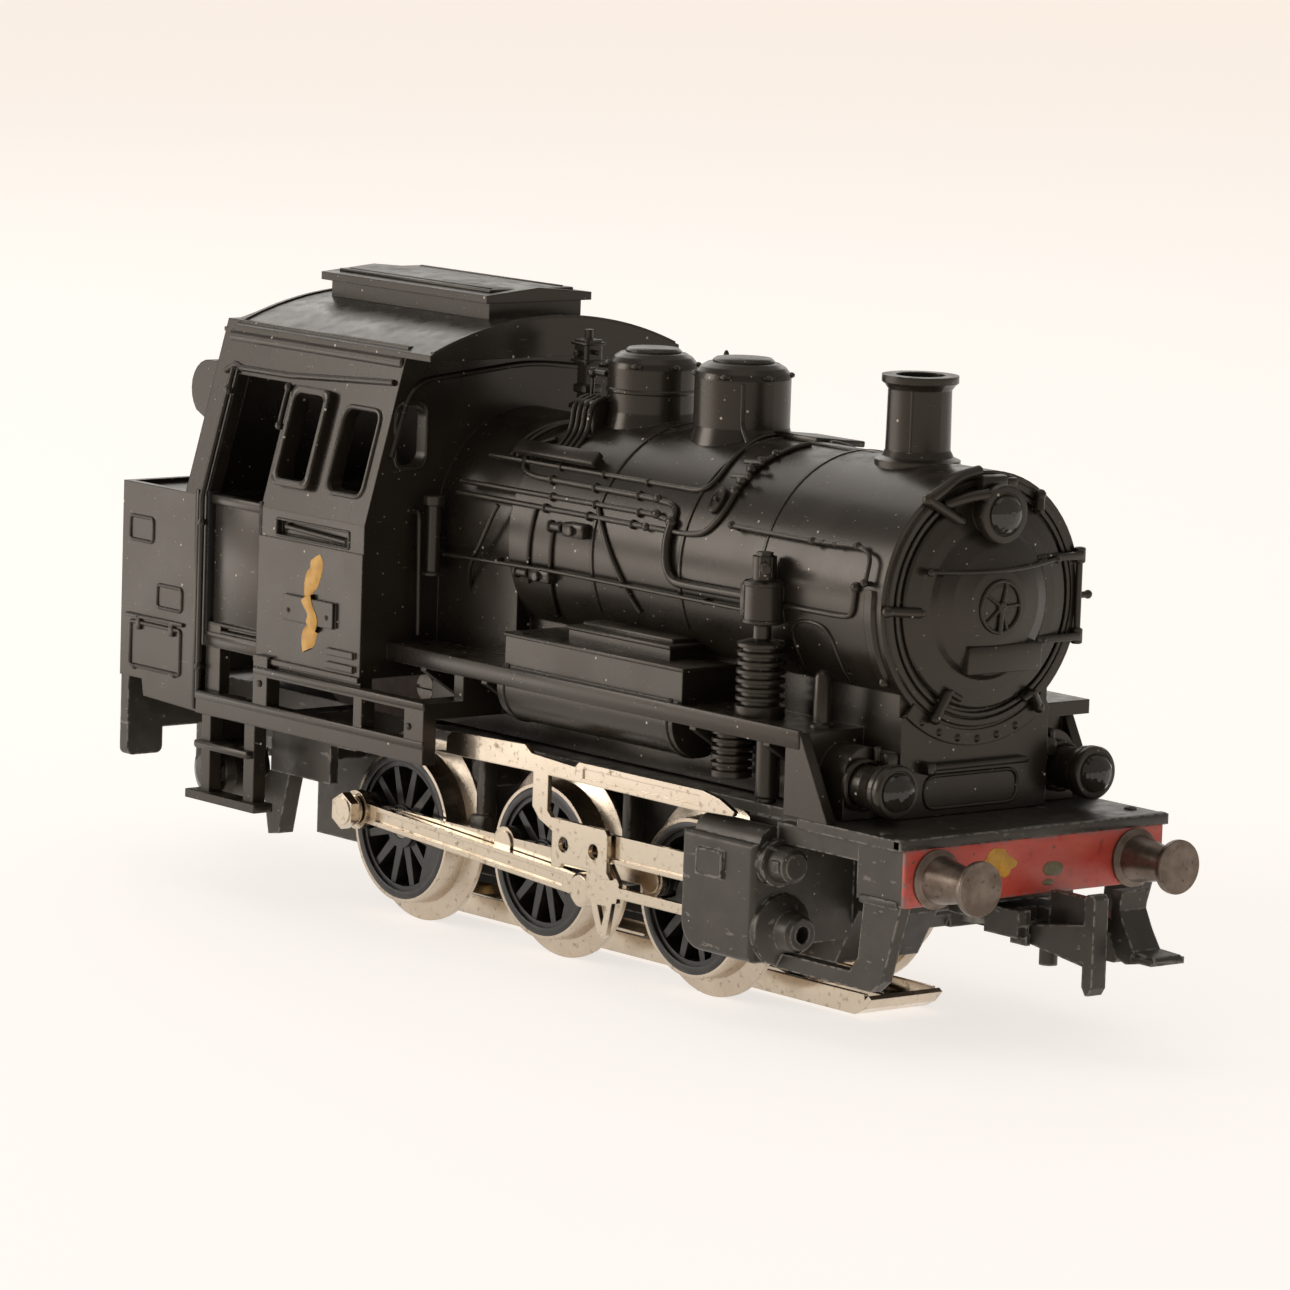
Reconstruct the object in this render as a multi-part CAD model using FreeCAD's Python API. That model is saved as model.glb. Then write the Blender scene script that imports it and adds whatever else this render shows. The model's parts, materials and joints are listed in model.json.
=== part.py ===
import FreeCAD, Part
import math
import os

# Model tank locomotive on three coupled axles, 16.5 mm gauge.
# Millimetres. +X is the front, -Y the right-hand side, +Z up. Z = 0 is the bottom of the wheel flanges.

V = FreeCAD.Vector

# ---------------------------------------------------------------- driving dimensions
# wheels and rods
WHEEL_X = (-15.53, 3.14, 21.80)
WHEEL_NAMES = ("rear", "middle", "front")
FLANGE_R = 7.87
TREAD_R = 6.23
TREAD_CONE = 0.14
TYRE_BORE_R = 5.45
AXLE_Z = FLANGE_R
AXLE_R = 1.0
RUNNING_GAP = 0.05
WHEEL_BACK_Y = 7.2
FLANGE_Y = 8.2
WHEEL_FACE_Y = 10.18
SPOKES = 12
CRANK_R = 3.8
RIGHT_CRANK_DEG = 165.0
LEFT_CRANK_DEG = 255.0
CRANK_PIN_R = 0.7
SIDES = ((-1, "right", RIGHT_CRANK_DEG), (1, "left", LEFT_CRANK_DEG))

# layers of the side motion, outwards from the wheel face
COUPLING_Y = (10.6, 11.2)
MAIN_ROD_Y = (11.4, 12.1)
PIN_HEAD_Y = (12.25, 13.6)
CROSS_PIN_Y = (12.1, 12.9)
CROSSHEAD_Y = (13.1, 13.5)
BRACKET_Y = (13.75, 14.15)

# crosshead and cylinder
ROD_END_X = 11.3
ROD_END_Z = 7.1
PISTON_Z = 7.75
CYLINDER_X = (26.3, 34.9)
CYLINDER_Y = (11.6, 15.0)
CYLINDER_Z = (5.35, 14.5)

# gears
MODULE = 0.5
WHEEL_TEETH = 24
IDLER_TEETH = 16
REDUCTION_SMALL_TEETH = 12
REDUCTION_BIG_TEETH = 28
PINION_TEETH = 8
GEAR_Y = (5.4, 6.9)
BIG_GEAR_Y = (3.9, 5.0)
STUD_R = 0.75

# chassis
FRAME_Y = (-5.0, 3.4)
FRAME_Z = (4.2, 15.6)
LEDGE_Z = (16.0, 16.85)
BEAM_FRONT_X = 49.79
BEAM_REAR_X = -50.2
BEAM_HALF = 12.9
BUFFER_Y = 9.96
BUFFER_Z = 13.78
BUFFER_FACE_X = 54.96

# motor
ARMATURE_R = 5.8
ARMATURE_Y = (-3.4, 1.4)
SHAFT_R = 0.75
SHIELD_Y = (-7.6, -6.4)
BRUSH_OFFSET_Z = 2.5

# body
WALL = 1.2
BOILER_Z = 33.0
BOILER_R = 9.8
SMOKEBOX_R = 9.95
SMOKEBOX_X = (28.5, 42.6)
SADDLE_FACE_X = 42.5
BOILER_REAR_X = -3.0
CAB_X = (-38.2, -13.4)
CAB_HALF = 16.28
CAB_WAIST_Z = 33.0
CAB_EAVES_HALF = 12.45
CAB_EAVES_Z = 46.9
CAB_LOWER_Z = 20.6
ROOF_X = (-36.83, -9.96)
ROOF_HALF = 12.75
ROOF_EDGE_Z = 46.9
ROOF_CROWN_Z = 49.61
BUNKER_X = (-47.15, -38.2)
BUNKER_Z = (16.6, 33.0)
BOARD_X = (-13.4, 38.2)
BOARD_HALF = 13.7
BOARD_Z = (22.2, 23.3)
CHIMNEY_X = 34.7
CHIMNEY_TOP_Z = 49.4
FRONT_DOME_X = 13.7
REAR_DOME_X = 2.5
LAMP_X = 45.3
UPPER_LAMP_X = 44.95
LENS_R = 1.5
LOWER_LAMP_Y = 9.95
LOWER_LAMP_Z = 19.57
UPPER_LAMP_Z = 39.9
BULB_X = 39.3

# couplers
COUPLER_PIVOT_X = 44.0
COUPLER_TIP_X = 61.3
ARM_Z = (9.6, 10.8)
HOOK_HINGE_X = 49.8
HOOK_HINGE_Z = 8.9

# pickup shoe
SHOE_X = (-19.0, 34.0)
SHOE_HALF = 3.6
SHOE_Z = 0.25
CARRIER_Z = (3.4, 4.2)


# ---------------------------------------------------------------- shape helpers
def box(x, y, z):
    lo = V(min(x), min(y), min(z))
    return Part.makeBox(abs(x[1] - x[0]), abs(y[1] - y[0]), abs(z[1] - z[0]), lo)


def side(s, y):
    """The span y on the side s (-1 right, +1 left)."""
    return (s * y[0], s * y[1])


def cyl_x(r, x, y, z):
    return Part.makeCylinder(r, x[1] - x[0], V(x[0], y, z), V(1, 0, 0))


def cyl_y(r, x, y, z):
    return Part.makeCylinder(r, abs(y[1] - y[0]), V(x, min(y), z), V(0, 1, 0))


def cyl_z(r, x, y, z):
    return Part.makeCylinder(r, z[1] - z[0], V(x, y, z[0]), V(0, 0, 1))


def fuse(shapes):
    first = shapes[0]
    return first.multiFuse(shapes[1:]).removeSplitter() if len(shapes) > 1 else first


def cut(shape, tools):
    return shape.cut(fuse(tools)).removeSplitter()


def face_of(points):
    return Part.Face(Part.makePolygon(points + [points[0]]))


def plate_xz(points, y):
    """A plate whose outline is drawn in X and Z, between the two values of y."""
    lo, hi = min(y), max(y)
    return face_of([V(px, lo, pz) for px, pz in points]).extrude(V(0, hi - lo, 0))


def plate_yz(points, x):
    return face_of([V(x[0], py, pz) for py, pz in points]).extrude(V(x[1] - x[0], 0, 0))


def plate_xy(points, z):
    return face_of([V(px, py, z[0]) for px, py in points]).extrude(V(0, 0, z[1] - z[0]))


def turned_x(profile, y, z):
    """A turned piece about an X axis; profile holds (x, radius) pairs."""
    points = [V(px, 0, pr) for px, pr in profile]
    solid = face_of(points).revolve(V(0, 0, 0), V(1, 0, 0), 360)
    solid.translate(V(0, y, z))
    return solid


def turned_z(profile, x, y):
    points = [V(pr, 0, pz) for pr, pz in profile]
    solid = face_of(points).revolve(V(0, 0, 0), V(0, 0, 1), 360)
    solid.translate(V(x, y, 0))
    return solid


def turned_y(profile, x, z, s):
    """A turned piece about a Y axis on the side s; profile holds (y, radius) pairs."""
    points = [V(pr, s * py, 0) for py, pr in profile]
    solid = face_of(points).revolve(V(0, 0, 0), V(0, 1, 0), 360)
    solid.translate(V(x, 0, z))
    return solid


def round_edges(shape, radius, wanted):
    edges = [e for e in shape.Edges if wanted(e)]
    return shape.makeFillet(radius, edges)


def runs_along(edge, axis):
    """True for a straight edge parallel to the axis number 0, 1 or 2."""
    if len(edge.Vertexes) != 2:
        return False
    d = edge.Vertexes[1].Point - edge.Vertexes[0].Point
    parts = [abs(d.x), abs(d.y), abs(d.z)]
    others = [parts[i] for i in range(3) if i != axis]
    return parts[axis] > 1e-6 and max(others) < 1e-6


def rounded_box(x, y, z, radius, axis):
    return round_edges(box(x, y, z), radius, lambda e: runs_along(e, axis))


def polar(cx, cz, radius, degrees):
    a = math.radians(degrees)
    return cx + radius * math.cos(a), cz + radius * math.sin(a)


def mirror_x(shape):
    return shape.mirror(V(0, 0, 0), V(1, 0, 0))


# ---------------------------------------------------------------- derived places
def crank(wheel_x, degrees):
    return polar(wheel_x, AXLE_Z, CRANK_R, degrees)


def main_rod_ends(degrees):
    """Crank-pin end and crosshead end of the main rod for a crank angle."""
    right_x, right_z = crank(WHEEL_X[0], RIGHT_CRANK_DEG)
    length = math.hypot(ROD_END_X - right_x, ROD_END_Z - right_z)
    px, pz = crank(WHEEL_X[0], degrees)
    reach = math.sqrt(length ** 2 - (ROD_END_Z - pz) ** 2)
    return (px, pz), (px + reach, ROD_END_Z)


WHEEL_GEAR_R = MODULE * WHEEL_TEETH / 2
IDLER_R = MODULE * IDLER_TEETH / 2
SMALL_R = MODULE * REDUCTION_SMALL_TEETH / 2
BIG_R = MODULE * REDUCTION_BIG_TEETH / 2
PINION_R = MODULE * PINION_TEETH / 2
HALF_PITCH = (WHEEL_X[1] - WHEEL_X[0]) / 2
IDLER_Z = AXLE_Z + math.sqrt((WHEEL_GEAR_R + IDLER_R) ** 2 - HALF_PITCH ** 2)
IDLER_X = ((WHEEL_X[0] + WHEEL_X[1]) / 2, (WHEEL_X[1] + WHEEL_X[2]) / 2)
REDUCTION_AT = polar(WHEEL_X[0], AXLE_Z, WHEEL_GEAR_R + SMALL_R, 115.0)
ARMATURE_AT = polar(REDUCTION_AT[0], REDUCTION_AT[1], BIG_R + PINION_R, 100.0)


# ---------------------------------------------------------------- gears
ADDENDUM = 0.38
DEDENDUM = 0.6
TOOTH_FILL = 0.36


def gear_blank(at, y, teeth, phase):
    """Straight-sided spur gear about a Y axis; phase is the angle of one tooth, in degrees."""
    radius = MODULE * teeth / 2
    pitch = 360.0 / teeth
    steps = ((-0.34, -DEDENDUM), (-TOOTH_FILL / 2 * 0.62, ADDENDUM),
             (TOOTH_FILL / 2 * 0.62, ADDENDUM), (0.34, -DEDENDUM))
    points = []
    for tooth in range(teeth):
        for share, height in steps:
            points.append(polar(at[0], at[1], radius + height, phase + (tooth + share) * pitch))
    return plate_xz(points, y)


def line_angle(a, b):
    return math.degrees(math.atan2(b[1] - a[1], b[0] - a[0]))


def meshed_phase(at1, teeth1, phase1, at2, teeth2):
    """Phase of the second gear that puts its tooth gap on the first gear's tooth."""
    r1 = MODULE * teeth1 / 2
    r2 = MODULE * teeth2 / 2
    a12 = line_angle(at1, at2)
    arc = math.radians(phase1 - a12) * r1 + math.pi * MODULE / 2
    return a12 + 180.0 - math.degrees(arc / r2)


WHEEL_AT = [(x, AXLE_Z) for x in WHEEL_X]
IDLER_AT = [(x, IDLER_Z) for x in IDLER_X]
REAR_PHASE = 0.0
IDLER_PHASE_1 = meshed_phase(WHEEL_AT[0], WHEEL_TEETH, REAR_PHASE, IDLER_AT[0], IDLER_TEETH)
MIDDLE_PHASE = meshed_phase(IDLER_AT[0], IDLER_TEETH, IDLER_PHASE_1, WHEEL_AT[1], WHEEL_TEETH)
IDLER_PHASE_2 = meshed_phase(WHEEL_AT[1], WHEEL_TEETH, MIDDLE_PHASE, IDLER_AT[1], IDLER_TEETH)
FRONT_PHASE = meshed_phase(IDLER_AT[1], IDLER_TEETH, IDLER_PHASE_2, WHEEL_AT[2], WHEEL_TEETH)
SMALL_PHASE = meshed_phase(WHEEL_AT[0], WHEEL_TEETH, REAR_PHASE, REDUCTION_AT, REDUCTION_SMALL_TEETH)
BIG_PHASE = 0.0
PINION_PHASE = meshed_phase(REDUCTION_AT, REDUCTION_BIG_TEETH, BIG_PHASE, ARMATURE_AT, PINION_TEETH)
WHEEL_PHASES = (REAR_PHASE, MIDDLE_PHASE, FRONT_PHASE)


def wheel_gear(index):
    """Gear ring on the back of the left wheel, with its hub."""
    at = WHEEL_AT[index]
    ring = gear_blank(at, GEAR_Y, WHEEL_TEETH, WHEEL_PHASES[index])
    hub = cyl_y(1.6, at[0], (FRAME_Y[1] + 0.1, WHEEL_BACK_Y), at[1])
    return cut(fuse([ring, hub]), [cyl_y(AXLE_R, at[0], (0, 9), at[1])])


def idler_gear(index):
    at = IDLER_AT[index]
    phase = (IDLER_PHASE_1, IDLER_PHASE_2)[index]
    ring = gear_blank(at, GEAR_Y, IDLER_TEETH, phase)
    hub = cyl_y(1.6, at[0], (FRAME_Y[1] + 0.1, GEAR_Y[1]), at[1])
    return cut(fuse([ring, hub]), [cyl_y(STUD_R + RUNNING_GAP, at[0], (0, 9), at[1])])


def reduction_gear():
    """Big gear driven by the armature pinion, fixed to the small one that drives the rear wheel."""
    at = REDUCTION_AT
    big = gear_blank(at, BIG_GEAR_Y, REDUCTION_BIG_TEETH, BIG_PHASE)
    small = gear_blank(at, (BIG_GEAR_Y[1], GEAR_Y[1]), REDUCTION_SMALL_TEETH, SMALL_PHASE)
    hub = cyl_y(1.3, at[0], (FRAME_Y[1] + 0.1, BIG_GEAR_Y[0]), at[1])
    return cut(fuse([big, small, hub]), [cyl_y(STUD_R + RUNNING_GAP, at[0], (0, 9), at[1])])


def gear_stud(at):
    return cyl_y(STUD_R, at[0], (1.4, GEAR_Y[1] + 0.1), at[1])


def gear_studs():
    return Part.makeCompound([gear_stud(at) for at in IDLER_AT + [REDUCTION_AT]])


# ---------------------------------------------------------------- wheelsets
def axle(x):
    return cyl_y(AXLE_R, x, (-WHEEL_FACE_Y, WHEEL_FACE_Y), AXLE_Z)


def tyre(x, s):
    profile = [(WHEEL_BACK_Y, TYRE_BORE_R), (WHEEL_BACK_Y, FLANGE_R - 0.35), (WHEEL_BACK_Y + 0.3, FLANGE_R),
               (FLANGE_Y - 0.35, FLANGE_R), (FLANGE_Y, TREAD_R + TREAD_CONE),
               (WHEEL_FACE_Y, TREAD_R), (WHEEL_FACE_Y, TYRE_BORE_R)]
    return turned_y(profile, x, AXLE_Z, s)


def tyres(x):
    return Part.makeCompound([tyre(x, s) for s in (-1, 1)])


def spoke(x, degrees, s):
    """One tapered spoke from the hub to the rim."""
    inner, outer = 1.5, TYRE_BORE_R - 0.3
    points = []
    for radius, half in ((inner, -0.42), (outer, -0.3), (outer, 0.3), (inner, 0.42)):
        a = math.radians(degrees)
        points.append((x + radius * math.cos(a) - half * math.sin(a),
                       AXLE_Z + radius * math.sin(a) + half * math.cos(a)))
    return plate_xz(points, side(s, (8.0, 9.85)))


def counterweight(x, degrees, s):
    """Segment between the rim and a chord, opposite the crank."""
    disc = cyl_y(TYRE_BORE_R - 0.2, x, side(s, (8.0, 9.95)), AXLE_Z)
    keep = box((3.4, 8), side(s, (7.9, 10.1)), (-6, 6))
    keep.rotate(V(0, 0, 0), V(0, 1, 0), -(degrees + 180.0))
    keep.translate(V(x, 0, AXLE_Z))
    return disc.common(keep)


def wheel_centre(x, degrees, s):
    web = cyl_y(TYRE_BORE_R - 0.2, x, side(s, (WHEEL_BACK_Y, 8.0)), AXLE_Z)
    rim_outer = cyl_y(TYRE_BORE_R, x, side(s, (WHEEL_BACK_Y, 10.0)), AXLE_Z)
    rim = cut(rim_outer, [cyl_y(TYRE_BORE_R - 0.55, x, side(s, (WHEEL_BACK_Y - 1, 11)), AXLE_Z)])
    hub = cyl_y(1.75, x, side(s, (WHEEL_BACK_Y, 10.25)), AXLE_Z)
    pin_x, pin_z = crank(x, degrees)
    boss = cyl_y(1.35, pin_x, side(s, (WHEEL_BACK_Y, 10.45)), pin_z)
    solids = [web, rim, hub, boss, counterweight(x, degrees, s)]
    solids += [spoke(x, degrees + i * 360.0 / SPOKES, s) for i in range(SPOKES)]
    if s < 0:
        solids.append(cyl_y(1.6, x, (-WHEEL_BACK_Y, FRAME_Y[0] - 0.1), AXLE_Z))
    holes = [cyl_y(AXLE_R, x, side(s, (4, 12)), AXLE_Z),
             cyl_y(CRANK_PIN_R, pin_x, side(s, (8.6, 12)), pin_z)]
    return cut(fuse(solids), holes)


def wheel_centres(x):
    return Part.makeCompound([wheel_centre(x, deg, s) for s, _, deg in SIDES])


def crank_pin(x, degrees, s, driven):
    """Pin of the coupling rod; on the driving wheel it also carries the main rod under a hexagonal head."""
    pin_x, pin_z = crank(x, degrees)
    if not driven:
        stem = cyl_y(CRANK_PIN_R, pin_x, side(s, (8.6, COUPLING_Y[1] + 0.05)), pin_z)
        head = cyl_y(1.05, pin_x, side(s, (COUPLING_Y[1] + 0.05, COUPLING_Y[1] + 0.18)), pin_z)
        return fuse([stem, head])
    stem = cyl_y(CRANK_PIN_R, pin_x, side(s, (8.6, PIN_HEAD_Y[0])), pin_z)
    collar = cyl_y(1.2, pin_x, side(s, (PIN_HEAD_Y[0], PIN_HEAD_Y[0] + 0.4)), pin_z)
    corners = [polar(pin_x, pin_z, 1.5, 30 + 60 * i) for i in range(6)]
    hexagon = plate_xz(corners, side(s, (PIN_HEAD_Y[0] + 0.4, PIN_HEAD_Y[1] - 0.1)))
    cap = cyl_y(1.15, pin_x, side(s, (PIN_HEAD_Y[1] - 0.1, PIN_HEAD_Y[1])), pin_z)
    return fuse([stem, collar, hexagon, cap])


def crank_pins(index):
    driven = index == 0
    return Part.makeCompound([crank_pin(WHEEL_X[index], deg, s, driven) for s, _, deg in SIDES])


# ---------------------------------------------------------------- rods and crossheads
def bar_between(a, b, half, y):
    """Straight bar from point a to point b in the XZ plane."""
    length = math.hypot(b[0] - a[0], b[1] - a[1])
    nx, nz = -(b[1] - a[1]) / length * half, (b[0] - a[0]) / length * half
    return plate_xz([(a[0] - nx, a[1] - nz), (b[0] - nx, b[1] - nz),
                     (b[0] + nx, b[1] + nz), (a[0] + nx, a[1] + nz)], y)


def between(a, b, share):
    return a[0] + (b[0] - a[0]) * share, a[1] + (b[1] - a[1]) * share


def coupling_rod(s, degrees):
    pins = [crank(x, degrees) for x in WHEEL_X]
    y = side(s, COUPLING_Y)
    solids = [bar_between(pins[0], pins[2], 0.6, y)]
    solids += [cyl_y(1.35, px, y, pz) for px, pz in pins]
    holes = [cyl_y(CRANK_PIN_R + RUNNING_GAP, px, side(s, (9, 13)), pz) for px, pz in pins]
    return cut(fuse(solids), holes)


def main_rod(s, degrees):
    """Fluted rod from the driving crank pin to the crosshead; it carries the crosshead pin's head."""
    start, end = main_rod_ends(degrees)
    y = side(s, MAIN_ROD_Y)
    shank = bar_between(start, end, 0.8, y)
    flute = bar_between(between(start, end, 0.09), between(start, end, 0.9), 0.42,
                        side(s, (MAIN_ROD_Y[1] - 0.25, MAIN_ROD_Y[1] + 0.1)))
    big_end = cyl_y(1.6, start[0], y, start[1])
    little_end = cyl_y(1.2, end[0], y, end[1])
    head = turned_y([(CROSS_PIN_Y[0], 0), (CROSS_PIN_Y[0], 1.35), (CROSS_PIN_Y[1] - 0.15, 1.35),
                     (CROSS_PIN_Y[1], 1.15), (CROSS_PIN_Y[1], 0)], end[0], end[1], s)
    rod = cut(fuse([shank, big_end, little_end]), [flute])
    eye = cyl_y(CRANK_PIN_R + RUNNING_GAP, start[0], side(s, (11, 13)), start[1])
    return cut(fuse([rod, head]), [eye])


def crosshead(s, degrees):
    """Slide block below the guide bars, with the piston rod and a hanging link."""
    x = main_rod_ends(degrees)[1][0]
    y = side(s, CROSSHEAD_Y)
    body = plate_xz([(x + 1.6, 6.9), (x + 2.5, 6.6), (x + 5.4, 6.9), (x + 5.7, 8.5),
                     (x + 4.6, 9.9), (x + 1.7, 9.9)], y)
    link = plate_xz([(x + 2.1, 6.9), (x + 3.2, 4.2), (x + 3.8, 3.9), (x + 4.3, 4.2), (x + 4.9, 6.9)], y)
    slot = plate_xz([(x + 3.1, 6.5), (x + 3.7, 4.9), (x + 4.2, 6.5)], side(s, (12, 14)))
    piston = box((x + 5.0, CYLINDER_X[0] + 1.2), y, (PISTON_Z - 0.42, PISTON_Z + 0.42))
    return cut(fuse([body, link, piston]), [slot])


def motion_bracket(s):
    """Stamped strip above the wheels, its arm with the two-hole plate, and the guide bars."""
    y = side(s, BRACKET_Y)
    strip = plate_xz([(-6.8, 15.7), (-4.6, 16.0), (-4.5, 17.2), (-3.9, 17.6), (5.5, 17.9), (6.4, 17.3),
                      (11.9, 17.0), (12.4, 17.45), (27.6, 17.45), (29.6, 17.1), (31.4, 16.35),
                      (31.2, 16.0), (26.2, 15.8), (6.7, 15.9)], y)
    flute = box((12.9, 27.2), side(s, (BRACKET_Y[1] - 0.12, BRACKET_Y[1] + 0.2)), (16.25, 17.0))
    arm = plate_xz([(6.7, 15.95), (8.6, 15.95), (8.6, 13.1), (9.1, 12.64), (15.9, 12.6), (16.2, 12.2),
                    (16.2, 9.3), (16.7, 8.8), (15.4, 8.7), (14.6, 9.2), (10.6, 9.2), (10.3, 8.8),
                    (9.3, 8.8), (9.3, 11.6), (7.6, 12.3), (6.7, 13.2)], y)
    tab = box((7.0, 11.6), side(s, (11.5, BRACKET_Y[1])), (LEDGE_Z[0] + 0.1, LEDGE_Z[0] + 0.5))
    bars = box((10.2, CYLINDER_X[0]), side(s, CROSSHEAD_Y), (10.4, 12.2))
    lower_bar = box((16.4, CYLINDER_X[0]), side(s, (CROSSHEAD_Y[0], BRACKET_Y[0])), (10.05, 10.4))
    bridge = box((10.2, 13.0), side(s, (CROSSHEAD_Y[1], BRACKET_Y[0])), (11.3, 12.2))
    holes = [cyl_y(0.62, hx, side(s, (13.6, 14.5)), 10.7) for hx in (10.75, 14.5)]
    return cut(fuse([strip, arm, tab, bars, lower_bar, bridge]), holes + [flute])


# ---------------------------------------------------------------- chassis
def cylinder_block(s):
    """Die-cast cylinder with its valve chest and front covers."""
    front = CYLINDER_X[1]
    outer = box(CYLINDER_X, side(s, CYLINDER_Y), CYLINDER_Z)
    outer = round_edges(outer, 2.2, lambda e: runs_along(e, 1) and e.BoundBox.ZMin < 6
                        and e.BoundBox.XMin < 30)
    rim = round_edges(outer, 0.45, lambda e: abs(abs(e.BoundBox.YMin) - CYLINDER_Y[1]) < 1e-3
                      and abs(abs(e.BoundBox.YMax) - CYLINDER_Y[1]) < 1e-3)
    web = box((30.2, front), side(s, (3.3, CYLINDER_Y[0])), (6.4, LEDGE_Z[0]))
    pad = box((28.3, 31.4), side(s, (CYLINDER_Y[1] - 0.2, CYLINDER_Y[1] + 0.25)), (11.3, 13.4))
    chest = turned_x([(front - 0.5, 0), (front - 0.5, 1.75), (front + 0.5, 1.7), (front + 0.6, 1.45),
                      (front + 2.4, 1.3), (front + 2.7, 1.0), (front + 2.7, 0)], s * 13.0, 13.0)
    cover = turned_x([(front - 0.2, 0), (front - 0.2, 2.75), (front + 0.3, 2.75), (front + 0.5, 2.5),
                      (front + 0.9, 1.9), (front + 1.2, 1.6), (front + 2.3, 1.45), (front + 2.7, 1.2),
                      (front + 2.7, 0)], s * 12.2, PISTON_Z)
    bore = cyl_x(0.65, (front + 1.4, front + 3.0), s * 12.2, PISTON_Z)
    chest_top = cyl_x(1.5, (27.2, front), s * 13.0, 14.2)
    slot = box((CYLINDER_X[0] - 1, front + 0.5), side(s, (CROSSHEAD_Y[0] - 0.1, CROSSHEAD_Y[1] + 0.1)),
               (PISTON_Z - 0.55, PISTON_Z + 0.55))
    return cut(fuse([rim, web, pad, chest, cover, chest_top]), [bore, slot])


def guard_plate(s):
    """Open side plate between the cylinder and the front beam, leaning back below the beam."""
    y = (11.7, 12.7)
    rear = CYLINDER_X[1] - 0.1
    outline = plate_xz([(rear, 4.9), (46.3, 4.9), (47.4, 5.8), (49.2, 11.6), (49.2, LEDGE_Z[0] + 0.05),
                        (rear, LEDGE_Z[0] + 0.05)], side(s, y))
    opening = plate_xz([(rear - 0.1, 6.1), (43.7, 6.1), (44.6, 7.3), (45.0, 11.4), (44.4, 14.5),
                        (rear - 0.1, 14.5)], side(s, (y[0] - 1, y[1] + 1)))
    end = box((44.4, 49.0), side(s, (y[0], BEAM_HALF)), (11.79, LEDGE_Z[0] + 0.05))
    foot = box((rear, 45.0), side(s, (8.0, y[0] + 0.1)), (14.6, LEDGE_Z[0] + 0.05))
    return fuse([cut(outline, [opening]), end, foot])


def front_end():
    footplate = box((38.0, BEAM_FRONT_X), (-13.5, 13.5), (16.05, 16.85))
    beam = box((48.6, BEAM_FRONT_X), (-BEAM_HALF, BEAM_HALF), (11.79, 16.1))
    block = box((38.4, 48.7), (-5.0, 5.0), (11.2, 16.1))
    return [footplate, beam, block] + [guard_plate(s) for s in (-1, 1)]


def rear_end():
    """Rear beam with two low legs and the drawbar block."""
    middle = box((BEAM_REAR_X, BEAM_REAR_X + 1.1), (-14.0, 14.0), (11.4, 16.3))
    legs = [rounded_box((BEAM_REAR_X, BEAM_REAR_X + 1.1), side(s, (10.4, 14.0)), (9.2, 14.0), 0.6, 0)
            for s in (-1, 1)]
    block = box((BEAM_REAR_X + 1.0, -33.9), (-5.0, 5.0), (11.2, FRAME_Z[1]))
    return [middle, block] + legs


def side_plate(s):
    """Bearing plate and brake hanger beside the rear wheel."""
    plate = box((-29.5, -21.3), side(s, (12.4, 13.2)), (10.7, 15.6))
    shelf = box((-21.4, -18.0), side(s, (12.4, 13.2)), (13.9, 15.6))
    web = box((-29.5, -27.3), side(s, (3.3, 12.5)), (11.5, 15.6))
    hanger = plate_xz([(-31.6, 9.6), (-30.2, 10.8), (-27.8, 10.8), (-28.4, 8.6), (-29.2, 5.4),
                       (-30.6, 5.2)], side(s, (11.0, 12.5)))
    join = box((-29.5, -28.2), side(s, (11.0, 12.5)), (10.0, 11.6))
    return fuse([plate, shelf, web, hanger, join])


def chassis_frame():
    block = box((-34.0, 38.5), FRAME_Y, FRAME_Z)
    riser = box((-10.6, 38.5), FRAME_Y, (FRAME_Z[1] - 0.1, LEDGE_Z[1]))
    ledge = box((-10.6, 38.5), (-11.5, 11.5), LEDGE_Z)
    corners = [(-31.0, 15.5), (-13.3, 15.5), (-13.3, 31.0), (-15.3, 33.0), (-29.0, 33.0), (-31.0, 31.0)]
    motor_plate = plate_xz(corners, (2.6, FRAME_Y[1]))
    post = cyl_z(2.3, CHIMNEY_X, 0, (LEDGE_Z[1] - 0.1, 29.0))
    solids = [block, riser, ledge, motor_plate, post] + front_end() + rear_end()
    for s in (-1, 1):
        solids += [cylinder_block(s), side_plate(s)]
    holes = [cyl_y(AXLE_R + RUNNING_GAP, x, (-6, 5), AXLE_Z) for x in WHEEL_X]
    holes += [gear_stud(at) for at in IDLER_AT + [REDUCTION_AT]]
    holes.append(cyl_y(SHAFT_R + RUNNING_GAP, ARMATURE_AT[0], (1, 5), ARMATURE_AT[1]))
    holes.append(cyl_z(0.95, CHIMNEY_X, 0, (19.0, 30.0)))
    holes += [box((WHEEL_X[0] - 9, WHEEL_X[0] - 3), FRAME_Y, (3, 7)).common(
        cyl_y(2.0, WHEEL_X[0] - 6.5, FRAME_Y, 5.0))]
    holes += [cyl_z(0.9, sx * COUPLER_PIVOT_X, 0, (11.0, 14.0)) for sx in (-1, 1)]
    holes.append(cyl_z(0.7, 8.0, 0, (3.0, 7.0)))
    under = FRAME_Z[0] - 0.1
    holes.append(plate_xz([(33.0, under), (38.6, under), (38.6, 8.6), (35.6, 8.6)], (-5, 5)))
    return cut(fuse(solids), holes)


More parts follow.
